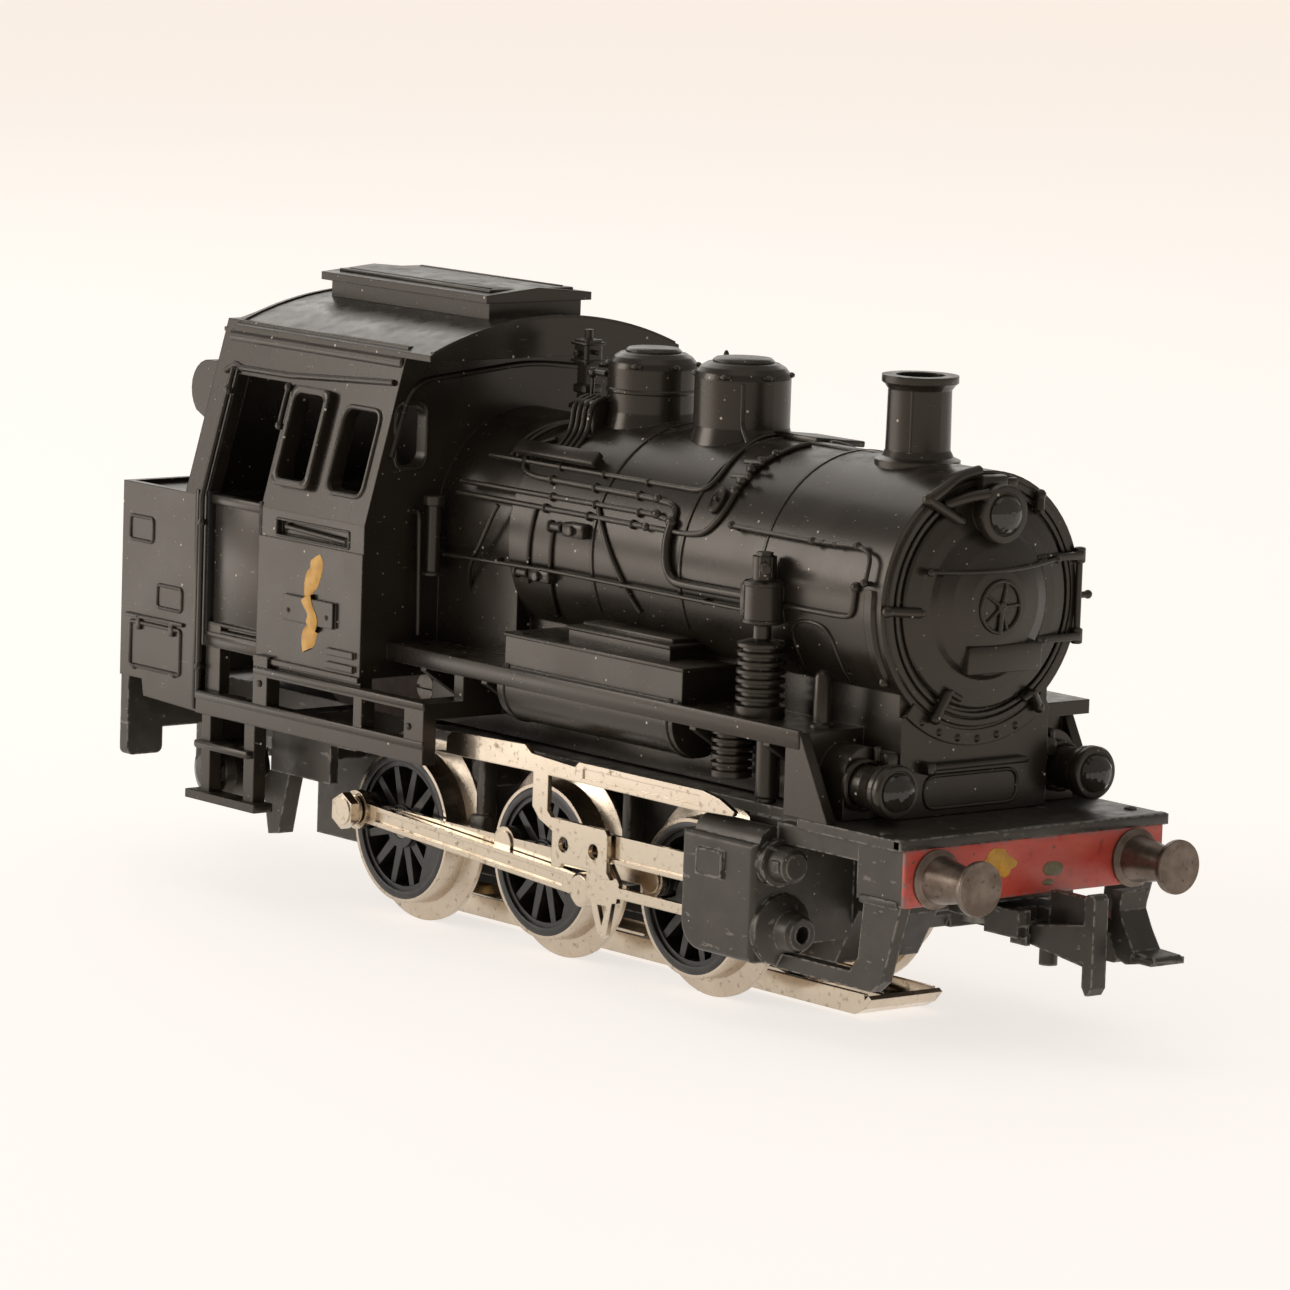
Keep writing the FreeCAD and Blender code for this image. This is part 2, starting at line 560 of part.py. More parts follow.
def buffer(x_face, length, s, direction):
    """Turned buffer: base flange, tapered neck and flat head with a small centre mark."""
    root = x_face - direction * length
    neck = x_face - direction * 0.75
    profile = [(root, 0), (root, 2.25), (root + direction * 0.35, 2.25), (root + direction * 0.6, 1.85),
               (neck - direction * 0.5, 1.25), (neck, 1.4), (x_face - direction * 0.45, 2.05),
               (x_face, 2.05), (x_face, 0)]
    return turned_x(profile, s * BUFFER_Y, BUFFER_Z)


def front_buffers():
    return Part.makeCompound([buffer(BUFFER_FACE_X, BUFFER_FACE_X - BEAM_FRONT_X, s, 1) for s in (-1, 1)])


def rear_buffers():
    return Part.makeCompound([buffer(BEAM_REAR_X - 2.0, 2.0, s, -1) for s in (-1, 1)])


# ---------------------------------------------------------------- motor
def armature_shaft():
    x, z = ARMATURE_AT
    shaft = cyl_y(SHAFT_R, x, (SHIELD_Y[0] + 0.2, BIG_GEAR_Y[1]), z)
    pinion = gear_blank(ARMATURE_AT, (BIG_GEAR_Y[0] - 0.1, BIG_GEAR_Y[1] + 0.1), PINION_TEETH, PINION_PHASE)
    return fuse([shaft, pinion])


def pole(x, z, degrees):
    """One of the three armature poles: a neck and a curved shoe."""
    neck = bar_between((x, z), polar(x, z, ARMATURE_R - 0.8, degrees), 1.2, ARMATURE_Y)
    ring = cut(cyl_y(ARMATURE_R, x, ARMATURE_Y, z), [cyl_y(ARMATURE_R - 1.3, x, (-9, 9), z)])
    span = [(x, z)] + [polar(x, z, 9.0, degrees + a) for a in (-50, 0, 50)]
    return fuse([neck, ring.common(plate_xz(span, ARMATURE_Y))])


def armature_core():
    x, z = ARMATURE_AT
    solids = [pole(x, z, a) for a in (90, 210, 330)]
    hub = cyl_y(1.7, x, ARMATURE_Y, z)
    return cut(fuse(solids + [hub]), [cyl_y(SHAFT_R, x, (-9, 9), z)])


def armature_windings():
    """One coil on each pole neck."""
    x, z = ARMATURE_AT
    core = armature_core()
    shaft = cyl_y(1.7, x, (-9, 9), z)
    coils = []
    for degrees in (90, 210, 330):
        a, b = polar(x, z, 1.9, degrees), polar(x, z, 4.3, degrees)
        turns = bar_between(a, b, 2.0, (ARMATURE_Y[0] - 0.7, ARMATURE_Y[1] + 0.7))
        turns = turns.common(plate_xz([polar(x, z, 0.3, degrees)] + [polar(x, z, 9.0, degrees + t)
                                                                    for t in (-58, 0, 58)], (-9, 9)))
        coils.append(cut(turns, [core, shaft]))
    return Part.makeCompound(coils)


def commutator():
    """Disc commutator with three segments divided by slots."""
    x, z = ARMATURE_AT
    y = (-5.2, -4.3)
    disc = cyl_y(3.6, x, y, z)
    slots = [bar_between(polar(x, z, 1.5, a), polar(x, z, 4.0, a), 0.15, (-5.3, -4.9))
             for a in (30, 150, 270)]
    return cut(disc, slots + [cyl_y(SHAFT_R, x, (-9, 9), z)])


def field_magnet():
    """Laminated yoke around the armature with the limb that carries the coil."""
    x, z = ARMATURE_AT
    yoke = rounded_box((-29.0, -13.2), ARMATURE_Y, (17.2, 32.6), 2.0, 1)
    limb = box((-13.3, -5.0), ARMATURE_Y, (23.2, 26.8))
    cheek = box((-5.6, -4.4), ARMATURE_Y, (21.5, 28.5))
    bore = cyl_y(ARMATURE_R + 0.4, x, (-9, 9), z)
    gap = box((x - 1.2, x + 1.2), (-9, 9), (z + 4.0, 33.0))
    rest = box((-28.0, -24.0), (-3.4, 1.4), (FRAME_Z[1], 17.4))
    feet = [rest] + [cyl_y(1.0, fx, (ARMATURE_Y[1], 2.6), fz) for fx, fz in ((-27.6, 18.6), (-14.6, 18.6))]
    return cut(fuse([yoke, limb, cheek] + feet), [bore, gap])


def field_coil():
    coil = rounded_box((-12.9, -5.8), (-5.6, 3.6), (20.6, 29.4), 1.6, 0)
    cheeks = [rounded_box((cx, cx + 0.5), (-6.1, 4.1), (20.1, 29.9), 1.2, 0) for cx in (-13.1, -6.2)]
    return cut(fuse([coil] + cheeks), [box((-14, -4), ARMATURE_Y, (23.2, 26.8))])


def brush_at(sign):
    return ARMATURE_AT[0], ARMATURE_AT[1] + sign * BRUSH_OFFSET_Z


def motor_shield():
    """Moulded brush plate with the shaft bearing and two brush tubes."""
    x, z = ARMATURE_AT
    plate = rounded_box((-29.6, -13.7), SHIELD_Y, (16.2, 33.2), 2.5, 1)
    bearing = cyl_y(2.0, x, (-8.2, SHIELD_Y[1]), z)
    tubes = [cyl_y(1.35, x, (-9.8, SHIELD_Y[1]), brush_at(sign)[1] + sign * 0.4) for sign in (-1, 1)]
    posts = [cyl_y(1.3, px, (SHIELD_Y[1], ARMATURE_Y[0]), pz) for px, pz in shield_screw_places()]
    holes = [cyl_y(SHAFT_R + RUNNING_GAP, x, (-9, -5), z)]
    holes += [cyl_y(0.85, x, (-9.6, -5), brush_at(sign)[1] + sign * 0.4) for sign in (-1, 1)]
    holes += [cyl_y(0.6, px, (-9, -3), pz) for px, pz in shield_screw_places()]
    return cut(fuse([plate, bearing] + tubes + posts), holes)


def shield_screw_places():
    return ((-26.9, 30.5), (-15.3, 19.2))


def slotted_screw_y(x, z, y_under, y_tip, head_r, shank_r):
    """Screw along +Y with a slotted head whose underside is at y_under."""
    head = cyl_y(head_r, x, (y_under - 0.7, y_under), z)
    shank = cyl_y(shank_r, x, (y_under, y_tip), z)
    slot = box((x - 2, x + 2), (y_under - 1.0, y_under - 0.4), (z - 0.15, z + 0.15))
    return cut(fuse([head, shank]), [slot])


def shield_screws():
    return Part.makeCompound([slotted_screw_y(px, pz, SHIELD_Y[0], ARMATURE_Y[0], 1.1, 0.6)
                              for px, pz in shield_screw_places()])


def brush(sign):
    x, z = brush_at(sign)
    return cyl_y(0.8, x, (-8.3, -5.2), z + sign * 0.4)


def brush_spring(sign):
    """Coil spring at the closed end of the brush tube, as rings joined by a strip."""
    x, z = brush_at(sign)
    z += sign * 0.4
    rings = []
    for i in range(3):
        y = -9.55 + 0.24 * i
        ring = cyl_y(0.75, x, (y, y + 0.13), z).cut(cyl_y(0.5, x, (y - 1, y + 1), z))
        rings.append(ring)
    strip = box((x - 0.12, x + 0.12), (-9.55, -8.94), (z + 0.5, z + 0.72))
    return fuse(rings + [strip])


# ---------------------------------------------------------------- relay and lamp
def relay_frame():
    base = box((8.0, 22.0), (-4.0, 4.0), (LEDGE_Z[1], 17.6))
    upright = box((8.0, 8.9), (-4.0, 4.0), (17.5, 30.0))
    ears = [box((8.0, 9.6), y, (29.0, 31.6)) for y in ((-4.0, -3.2), (3.2, 4.0))]
    core = cyl_z(1.3, 15.5, 0, (17.5, 29.2))
    pivot = [cyl_y(0.4, 8.9, (-5, 5), 30.9)]
    return cut(fuse([base, upright, core] + ears), pivot)


def relay_coil():
    winding = cyl_z(3.6, 15.5, 0, (18.2, 28.2))
    cheeks = [cyl_z(4.2, 15.5, 0, z) for z in ((17.65, 18.3), (28.1, 28.8))]
    return cut(fuse([winding] + cheeks), [cyl_z(1.3, 15.5, 0, (17, 30))])


def relay_lever():
    plate = box((8.9, 19.5), (-2.9, 2.9), (30.5, 31.1))
    boss = cyl_y(0.75, 8.9, (-2.9, 2.9), 30.9)
    pin = cyl_y(0.35, 8.9, (-4.0, 4.0), 30.9)
    paddle = box((17.5, 19.5), (-4.2, 4.2), (30.5, 31.1))
    return fuse([plate, boss, pin, paddle])


def bulb():
    return turned_z([(0, 21.0), (1.5, 21.0), (1.5, 23.6), (1.6, 24.2), (1.7, 25.4), (1.45, 26.8),
                     (0.8, 27.7), (0, 28.0)], BULB_X, 0)


def bulb_socket():
    base_z = LEDGE_Z[1]
    profile = [(0, base_z), (1.9, base_z), (1.9, 22.2), (1.5, 22.2), (1.5, 21.0), (0, 21.0)]
    return turned_z(profile, BULB_X, 0)


def lens(x, y, z):
    """Clear lamp lens: a stem in the housing that ends at x, and a domed front."""
    r = LENS_R
    return turned_x([(x - 2.6, 0), (x - 2.6, r), (x + 0.05, r), (x + 0.4, r * 0.9), (x + 0.65, r * 0.72),
                     (x + 0.82, r * 0.45), (x + 0.9, r * 0.2), (x + 0.92, 0)], y, z)


def upper_lamp_lens():
    return lens(UPPER_LAMP_X, 0, UPPER_LAMP_Z)


def lower_lamp_lenses():
    return Part.makeCompound([lens(LAMP_X, s * LOWER_LAMP_Y, LOWER_LAMP_Z) for s in (-1, 1)])


# ---------------------------------------------------------------- pickup
def pickup_shoe():
    """Slotted nickel slider with turned-up sides and ends."""
    x0, x1 = SHOE_X
    rise = SHOE_Z + 1.4
    outline = [(x0 - 1.9, rise), (x0 - 1.1, SHOE_Z + 0.55), (x0, SHOE_Z), (x1, SHOE_Z),
               (x1 + 1.1, SHOE_Z + 0.55), (x1 + 1.9, rise), (x1 + 1.5, rise + 0.25),
               (x1 + 0.8, SHOE_Z + 1.0), (x1 - 0.2, SHOE_Z + 0.5), (x0 + 0.2, SHOE_Z + 0.5),
               (x0 - 0.8, SHOE_Z + 1.0), (x0 - 1.5, rise + 0.25)]
    strip = plate_xz(outline, (-SHOE_HALF, SHOE_HALF))
    cheeks = [plate_xz([(x0 - 1.2, SHOE_Z + 0.8), (x0, SHOE_Z), (x1, SHOE_Z), (x1 + 1.2, SHOE_Z + 0.8),
                        (x1 + 1.0, SHOE_Z + 1.7), (x0 - 1.0, SHOE_Z + 1.7)],
                       side(s, (SHOE_HALF - 0.4, SHOE_HALF))) for s in (-1, 1)]
    slots = [rounded_box((sx, sx + 8.0), (-1.7, 1.7), (-1, 1.2), 1.2, 2)
             for sx in (-16.5, -5.5, 13.5, 24.5)]
    return cut(fuse([strip] + cheeks), slots + [cyl_z(1.9, 8.0, 0, (-1, 2))])


def shoe_carrier():
    """Insulating plate between the shoe and the chassis."""
    plate = rounded_box((-14.0, 30.0), (-4.4, 4.4), CARRIER_Z, 1.5, 2)
    return cut(plate, [cyl_z(0.7, 8.0, 0, (3, 5))])


def shoe_spring():
    """Bowed leaf spring: clamped under the carrier, pressing both ends of the shoe down."""
    top = CARRIER_Z[0]
    mid = [(-2.0, top), (18.0, top)]
    ends = [(28.0, 1.0), (31.0, 0.75)]
    upper = [(8.0 - 23.0, 0.95), (8.0 - 20.0, 1.2)] + mid + [(28.0, 1.2), (31.0, 0.95)]
    lower = [ends[1], ends[0], (18.0, top - 0.2), (-2.0, top - 0.2), (-12.0, 1.0), (-15.0, 0.75)]
    leaf = plate_xz(upper + lower, (-2.6, -1.9))
    other = plate_xz(upper + lower, (1.9, 2.6))
    bridge = box((3.0, 13.0), (-2.6, 2.6), (top - 0.2, top))
    return cut(fuse([leaf, other, bridge]), [cyl_z(0.7, 8.0, 0, (2, 5))])


def shoe_screw():
    head = cyl_z(1.3, 8.0, 0, (CARRIER_Z[0] - 0.8, CARRIER_Z[0] - 0.2))
    shank = cyl_z(0.7, 8.0, 0, (CARRIER_Z[0] - 0.3, 7.0))
    slot = box((6.0, 10.0), (-0.15, 0.15), (2.0, CARRIER_Z[0] - 0.5))
    return cut(fuse([head, shank]), [slot])


# ---------------------------------------------------------------- couplers
def coupler_arm():
    """Front coupler arm: pivot eye, shank, head box and the jaw plate with its forward foot."""
    eye = cyl_z(2.5, COUPLER_PIVOT_X, 0, ARM_Z)
    shank = plate_xy([(COUPLER_PIVOT_X, -2.2), (50.6, -2.2), (50.8, -1.6), (50.8, 1.2), (56.4, 2.0),
                      (56.4, 4.7), (53.0, 4.3), (COUPLER_PIVOT_X, 2.2)], ARM_Z)
    head = box((46.8, 50.6), (-2.2, -1.4), (8.7, ARM_Z[0] + 0.1))
    jaw = plate_xz([(56.2, 13.0), (57.3, 13.0), (57.1, 11.5), (57.9, 10.0), (58.8, 8.7), (61.0, 8.6),
                    (COUPLER_TIP_X, 8.2), (58.0, 7.6), (56.9, 7.9), (56.2, 9.3)], (2.0, 4.7))
    foot = box((58.6, COUPLER_TIP_X - 0.4), (1.9, 5.2), (7.9, 8.4))
    ears = [box((48.9, 50.7), y, (8.1, ARM_Z[0] + 0.1)) for y in ((-1.4, -1.0), (0.6, 1.2))]
    wall = box((50.8, 56.3), (0.8, 1.5), (8.7, 12.2))
    holes = [cyl_z(0.9 + RUNNING_GAP, COUPLER_PIVOT_X, 0, (8, 12)),
             cyl_y(0.45, HOOK_HINGE_X, (-1.45, 2), HOOK_HINGE_Z),
             box((49.3, 57.0), (-1.15, 0.75), (9.0, 11.5))]
    return cut(fuse([eye, shank, head, wall, jaw, foot] + ears), holes)


def coupler_hook():
    """Lifting hook of the front coupler: bar, upright tongue, release peg and hinge pin."""
    y = (-0.9, 0.5)
    bar = plate_xz([(49.0, 8.4), (56.6, 7.4), (56.6, 10.6), (49.4, 9.5), (49.0, 9.2)], y)
    tongue = plate_xz([(56.4, 12.6), (56.7, 12.9), (57.2, 12.9), (57.5, 12.6), (57.5, 5.9), (57.1, 5.3),
                       (56.8, 5.3), (56.4, 5.9)], y)
    peg = cyl_z(0.7, 51.9, -0.2, (6.8, 8.4))
    pin = cyl_y(0.4, HOOK_HINGE_X, (-1.3, 1.2), HOOK_HINGE_Z)
    return fuse([bar, tongue, peg, pin])


def coupler_pins():
    pins = []
    for sx in (-1, 1):
        x = sx * COUPLER_PIVOT_X
        pin = fuse([cyl_z(0.9, x, 0, (9.5, 14.0)), cyl_z(1.6, x, 0, (8.9, 9.5))])
        pins.append(pin)
    return Part.makeCompound(pins)


# ---------------------------------------------------------------- body shell
def arched_face(half, edge_z, crown_z, x, foot_z):
    """Face in a YZ plane: vertical sides from foot_z to edge_z, closed by an arc through the crown."""
    a = V(x, -half, foot_z)
    b = V(x, -half, edge_z)
    c = V(x, half, edge_z)
    d = V(x, half, foot_z)
    arc = Part.Arc(b, V(x, 0, crown_z), c).toShape()
    wire = Part.Wire([Part.makeLine(a, b), arc, Part.makeLine(c, d), Part.makeLine(d, a)])
    return Part.Face(wire)


def arched_block(half, edge_z, crown_z, x, foot_z):
    return arched_face(half, edge_z, crown_z, x[0], foot_z).extrude(V(x[1] - x[0], 0, 0))


def cab_half_width(z):
    """Half width of the cab side at a height: upright to the waist, leaning inwards above it."""
    if z <= CAB_WAIST_Z:
        return CAB_HALF
    lean = (CAB_HALF - CAB_EAVES_HALF) / (CAB_EAVES_Z - CAB_WAIST_Z)
    return CAB_HALF - lean * (z - CAB_WAIST_Z)


def cab_block(x, inset, z_low, z_high):
    half_low = cab_half_width(z_low) - inset
    half_high = cab_half_width(z_high) - inset
    points = [(-half_low, z_low), (-half_high, z_high), (half_high, z_high), (half_low, z_low)]
    if z_low < CAB_WAIST_Z < z_high:
        waist = CAB_HALF - inset
        points = [(-half_low, z_low), (-waist, CAB_WAIST_Z), (-half_high, z_high), (half_high, z_high),
                  (waist, CAB_WAIST_Z), (half_low, z_low)]
    return plate_yz(points, x)


def window(x, z, radius):
    """Cutter through both cab sides."""
    return rounded_box(x, (-20, 20), z, radius, 1)


def cab():
    """Cab walls, roof and ventilator, hollow, with doors and windows."""
    outer = cab_block(CAB_X, 0, CAB_LOWER_Z, CAB_EAVES_Z + 0.4)
    inner = cab_block((CAB_X[0] + WALL, CAB_X[1] - WALL), WALL, CAB_LOWER_Z - 1, CAB_EAVES_Z + 1.0)
    door = box((-35.0, -27.5), (-20, 20), (CAB_WAIST_Z, 43.0))
    recess = [box((-35.0, -27.5), side(s, (CAB_HALF - 0.5, CAB_HALF + 1)), (21.8, CAB_WAIST_Z))
              for s in (-1, 1)]
    panes = [window((-26.0, -21.7), (35.4, 42.4), 0.6), window((-19.3, -14.9), (35.3, 41.8), 0.8)]
    front_panes = [rounded_box((CAB_X[1] - 3, CAB_X[1] + 1), side(s, (10.4, 13.4)), (37.6, 42.6), 1.2, 0)
                   for s in (-1, 1)]
    vents = [box((-25.2, -15.6), side(s, (CAB_HALF - 0.5, CAB_HALF + 1)), (31.0, 32.2)) for s in (-1, 1)]
    walls = cut(outer, [inner, door] + recess + panes + front_panes + vents)
    roof = arched_block(ROOF_HALF, ROOF_EDGE_Z, ROOF_CROWN_Z, ROOF_X, ROOF_EDGE_Z - 0.5)
    hollow = arched_block(ROOF_HALF - 1.8, ROOF_EDGE_Z - 0.6, ROOF_CROWN_Z - 1.1,
                          (CAB_X[0] + WALL + 0.4, CAB_X[1] - WALL), ROOF_EDGE_Z - 3)
    rear_cap = arched_block(CAB_EAVES_HALF, CAB_EAVES_Z, ROOF_CROWN_Z - 0.7, (CAB_X[0], ROOF_X[0] + 0.5),
                            CAB_EAVES_Z - 1)
    box_top = box((-34.3, -12.9), (-4.7, 4.7), (48.6, 50.7))
    lid = plate_yz([(-5.37, 50.6), (-5.37, 51.25), (0, 51.75), (5.37, 51.25), (5.37, 50.6)], (-34.9, -12.4))
    return cut(fuse([walls, roof, rear_cap, box_top, lid]), [hollow])


def bunker():
    """Coal bunker behind the cab with its stepped lower edge, and the hood on the cab's rear wall."""
    x0, x1 = BUNKER_X
    z0, z1 = BUNKER_Z
    outline = [(x0, z0), (x0 + 3.2, z0), (x0 + 3.5, 15.2), (-35.6, 14.9), (-35.6, z1), (x0, z1)]
    outer = plate_xz(outline, (-CAB_HALF, CAB_HALF))
    inner = box((x0 + WALL, x1 + 4), (-CAB_HALF + WALL, CAB_HALF - WALL), (10, z1 - WALL))
    top_recess = box((x0 + 0.7, x1 - 0.3), (-CAB_HALF + 0.7, CAB_HALF - 0.7), (z1 - 0.4, z1 + 1))
    hood_arc = [polar(x1 - 1.6, 41.15, 2.55, a) for a in range(75, 240, 15)]
    hood = plate_xz([(x1 + 0.5, 44.0)] + hood_arc + [(x1 + 0.5, 37.6)], (-13.0, 13.0))
    return fuse([cut(outer, [inner, top_recess]), hood])


def side_frame(s):
    """Openwork side frame below the cab, with the ladder to the footplate."""
    y = side(s, (15.6, 16.9))
    lower = box((-35.2, -4.1), y, (15.0, 16.8))
    upper = box((-27.2, -4.1), y, (19.2, 19.9))
    posts = [box(x, y, (15.0, 19.9)) for x in ((-6.6, -4.1), (-13.4, -12.3))]
    rear_post = box((-27.2, -25.3), y, (15.0, CAB_LOWER_Z + 0.3))
    stand = box((-34.9, -32.9), side(s, (15.2, 16.2)), (16.0, 22.5))
    uprights = [box(x, side(s, (15.5, 16.7)), (8.2, 16.0)) for x in ((-34.5, -33.3), (-28.5, -27.1))]
    rungs = [box((-34.8, -27.4), side(s, (15.5, 17.2)), (12.2, 12.8)),
             box((-35.7, -26.0), side(s, (15.5, 17.4)), (7.9, 8.6))]
    sill = box((-27.2, CAB_X[1]), side(s, (15.1, CAB_HALF)), (19.2, CAB_LOWER_Z + 0.1))
    tie = box((-6.6, -4.1), side(s, (9.0, 15.7)), (18.6, 19.9))
    drop = box((-5.3, -4.1), side(s, (9.0, 13.0)), (19.8, BOARD_Z[0] + 0.1))
    return fuse([lower, upper, rear_post, stand, sill, tie, drop] + posts + uprights + rungs)


def reservoir(s):
    """Short round reservoir behind the ladder, held by a strap under the bunker."""
    drum = turned_y([(10.6, 0), (10.6, 2.3), (10.9, 2.75), (14.3, 2.75), (15.0, 2.35), (15.45, 1.5),
                     (15.6, 0.6), (15.6, 0)], -35.5, 10.0, s)
    strap = box((-36.3, -34.7), side(s, (12.2, 14.6)), (12.0, 16.0))
    bridge = box((-35.2, -33.5), side(s, (14.0, 15.9)), (9.4, 10.6))
    return fuse([drum, strap, bridge])


def boiler():
    """Firebox, boiler, smokebox and door, still solid."""
    barrel = cyl_x(BOILER_R, (BOILER_REAR_X, SMOKEBOX_X[0] + 0.1), 0, BOILER_Z)
    smokebox = cyl_x(SMOKEBOX_R, (SMOKEBOX_X[0], SMOKEBOX_X[1]), 0, BOILER_Z)
    x = SMOKEBOX_X[1]
    ring = turned_x([(x - 1.0, 0), (x - 1.0, SMOKEBOX_R), (x - 0.45, SMOKEBOX_R), (x - 0.15, 9.8), (x, 9.5),
                     (x + 0.25, 9.4), (x + 0.25, 8.95), (x, 8.9), (x, 8.78), (x + 0.32, 8.72),
                     (x + 0.32, 8.42), (x - 0.1, 8.38), (x - 0.1, 0)], 0, BOILER_Z)
    door = turned_x([(x - 0.3, 0), (x - 0.3, 8.12), (x + 0.35, 8.12), (x + 0.5, 7.95), (x + 0.72, 6.8),
                     (x + 0.85, 5.85), (x + 1.2, 5.45), (x + 1.65, 4.3), (x + 1.95, 2.7), (x + 2.08, 1.3),
                     (x + 2.1, 0)], 0, BOILER_Z)
    firebox = cyl_x(9.0, (CAB_X[1] - 0.2, BOILER_REAR_X + 0.2), 0, BOILER_Z)
    firebox_sides = box((CAB_X[1] - 0.2, BOILER_REAR_X), (-8.7, 8.7), (BOARD_Z[1] - 0.1, BOILER_Z))
    ashpan = box((BOILER_REAR_X - 0.1, 29.0), (-7.3, 7.3), (BOARD_Z[1] - 0.1, 28.0))
    return [barrel, smokebox, ring, door, firebox, firebox_sides, ashpan]


def dome(x, radius, top_z, base_r):
    """Dome with a small flared foot, a rounded shoulder and a low flat lid."""
    shoulder_z = top_z - 1.5
    return turned_z([(0, 38.0), (base_r, 38.0), (base_r, 41.6), (radius + 0.1, 42.9), (radius, 43.3),
                     (radius, shoulder_z), (radius - 0.12, shoulder_z + 0.45),
                     (radius - 0.45, shoulder_z + 0.85), (radius - 0.95, shoulder_z + 1.15),
                     (radius - 1.5, shoulder_z + 1.25),
                     (radius - 1.6, top_z), (0, top_z)], x, 0)


def chimney():
    """Slightly tapered chimney on a thin round foot, with a plain rolled lip."""
    z = CHIMNEY_TOP_Z
    return turned_z([(0, 38.0), (3.3, 38.0), (3.3, 42.95), (2.75, 43.2), (2.5, 43.7), (2.45, z - 1.1),
                     (2.7, z - 0.75), (2.95, z - 0.55), (2.95, z), (0, z)], CHIMNEY_X, 0)


def saddle():
    """Smokebox saddle down to the front footplate."""
    block = box((29.0, 42.2), (-7.4, 7.4), (16.9, 27.0))
    front = plate_yz([(-7.4, 16.9), (7.4, 16.9), (7.4, 24.6), (5.6, 25.2), (-5.6, 25.2), (-7.4, 24.6)],
                     (41.2, SADDLE_FACE_X))
    return [block, front]


def running_boards():
    """Running boards with skirts, front walls, gussets, tool boxes and air tanks."""
    solids = [box(BOARD_X, (-BOARD_HALF, BOARD_HALF), BOARD_Z)]
    for s in (-1, 1):
        solids.append(box((BOARD_X[0], 37.6), side(s, (7.9, 9.0)), (17.0, BOARD_Z[0] + 0.1)))
        solids.append(box((37.3, 38.2), side(s, (7.3, BOARD_HALF - 0.2)), (17.0, BOARD_Z[0] + 0.1)))
        solids.append(plate_xz([(36.6, 16.9), (41.7, 16.9), (38.2, 23.3), (36.6, 23.3)],
                               side(s, (BOARD_HALF - 0.9, BOARD_HALF))))
        solids.append(box((1.2, 23.3), side(s, (7.0, 13.0)), (BOARD_Z[1] - 0.1, 26.1)))
        solids.append(box((6.9, 19.5), side(s, (7.0, 11.2)), (26.0, 27.2)))
        solids.append(cyl_x(2.9, (0.9, 22.8), s * 10.6, 21.9))
    solids.append(box((33.5, 40.1), (7.3, 13.8), (BOARD_Z[1] - 0.1, 24.3)))
    return solids


def air_pump():
    """Ribbed air pump on the right running board, with its lower part under the board."""
    at = (30.2, -11.0)
    profile = [(0, 23.2), (1.95, 23.2), (1.95, 24.2)]
    for i in range(7):
        z = 24.3 + i * 0.68
        profile += [(1.5, z), (1.5, z + 0.3), (1.9, z + 0.32), (1.9, z + 0.6)]
    profile += [(1.2, 29.2), (0.7, 29.3), (0.7, 30.3), (1.5, 30.5), (1.5, 33.6), (0.9, 33.8), (0.9, 35.6),
                (0, 35.6)]
    upper = turned_z(profile, *at)
    bracket = box((29.2, 31.2), (-10.6, -8.0), (30.6, 33.4))
    lower_profile = [(0, BOARD_Z[0] + 0.1), (1.6, BOARD_Z[0] + 0.1)]
    for i in range(5):
        z = 21.9 - i * 0.62
        lower_profile += [(1.6, z), (1.6, z - 0.28), (1.25, z - 0.3), (1.25, z - 0.58)]
    lower_profile += [(1.6, 18.8), (1.6, 18.3), (0, 18.3)]
    lower = turned_z(lower_profile, 27.1, -11.0)
    pipe = cyl_z(0.75, 31.4, -11.0, (16.95, BOARD_Z[0] + 0.1))
    return [upper, bracket, lower, pipe]


def lamps():
    """Lamp housings; the bores for the lenses are cut later."""
    solids = []
    for s in (-1, 1):
        solids.append(turned_x([(38.0, 0), (38.0, 1.6), (42.6, 1.6), (43.6, 1.8), (44.0, 1.95),
                                (LAMP_X, 1.95), (LAMP_X, 0)], s * LOWER_LAMP_Y, LOWER_LAMP_Z))
        block = arched_block(2.2, 20.6, 22.4, (37.8, 41.0), 16.9)
        block.translate(V(0, s * 9.4, 0))
        solids.append(block)
    solids.append(turned_x([(42.0, 0), (42.0, 1.75), (43.9, 1.85), (44.25, 2.2), (UPPER_LAMP_X, 2.2),
                            (UPPER_LAMP_X, 0)], 0, UPPER_LAMP_Z))
    return solids


def inner_space():
    """Hollow of the body in front of the cab: boiler bore, trough, screw hole and lens seats."""
    bore = cyl_x(8.3, (CAB_X[1] - 2.0, 41.2), 0, BOILER_Z)
    trough = box((CAB_X[1] - 2.0, 41.4), (-6.3, 6.3), (10.0, BOILER_Z))
    between_skirts = box((BOARD_X[0] - 0.1, 36.5), (-7.6, 7.6), (10.0, BOARD_Z[0] - 0.6))
    cutters = [bore, trough, between_skirts]
    boss = cyl_z(2.6, CHIMNEY_X, 0, (32.4, 43.0))
    hollow = fuse(cutters).cut(boss)
    lens_seats = [cyl_x(LENS_R, (UPPER_LAMP_X - 2.6, UPPER_LAMP_X + 1), 0, UPPER_LAMP_Z)]
    for s in (-1, 1):
        lens_seats.append(cyl_x(LENS_R, (LAMP_X - 2.6, LAMP_X + 1), s * LOWER_LAMP_Y, LOWER_LAMP_Z))
    screw_way = cyl_z(1.9, CHIMNEY_X, 0, (34.4, CHIMNEY_TOP_Z + 1))
    screw_hole = cyl_z(1.05, CHIMNEY_X, 0, (32.0, 35.0))
    return [hollow, screw_way, screw_hole] + lens_seats


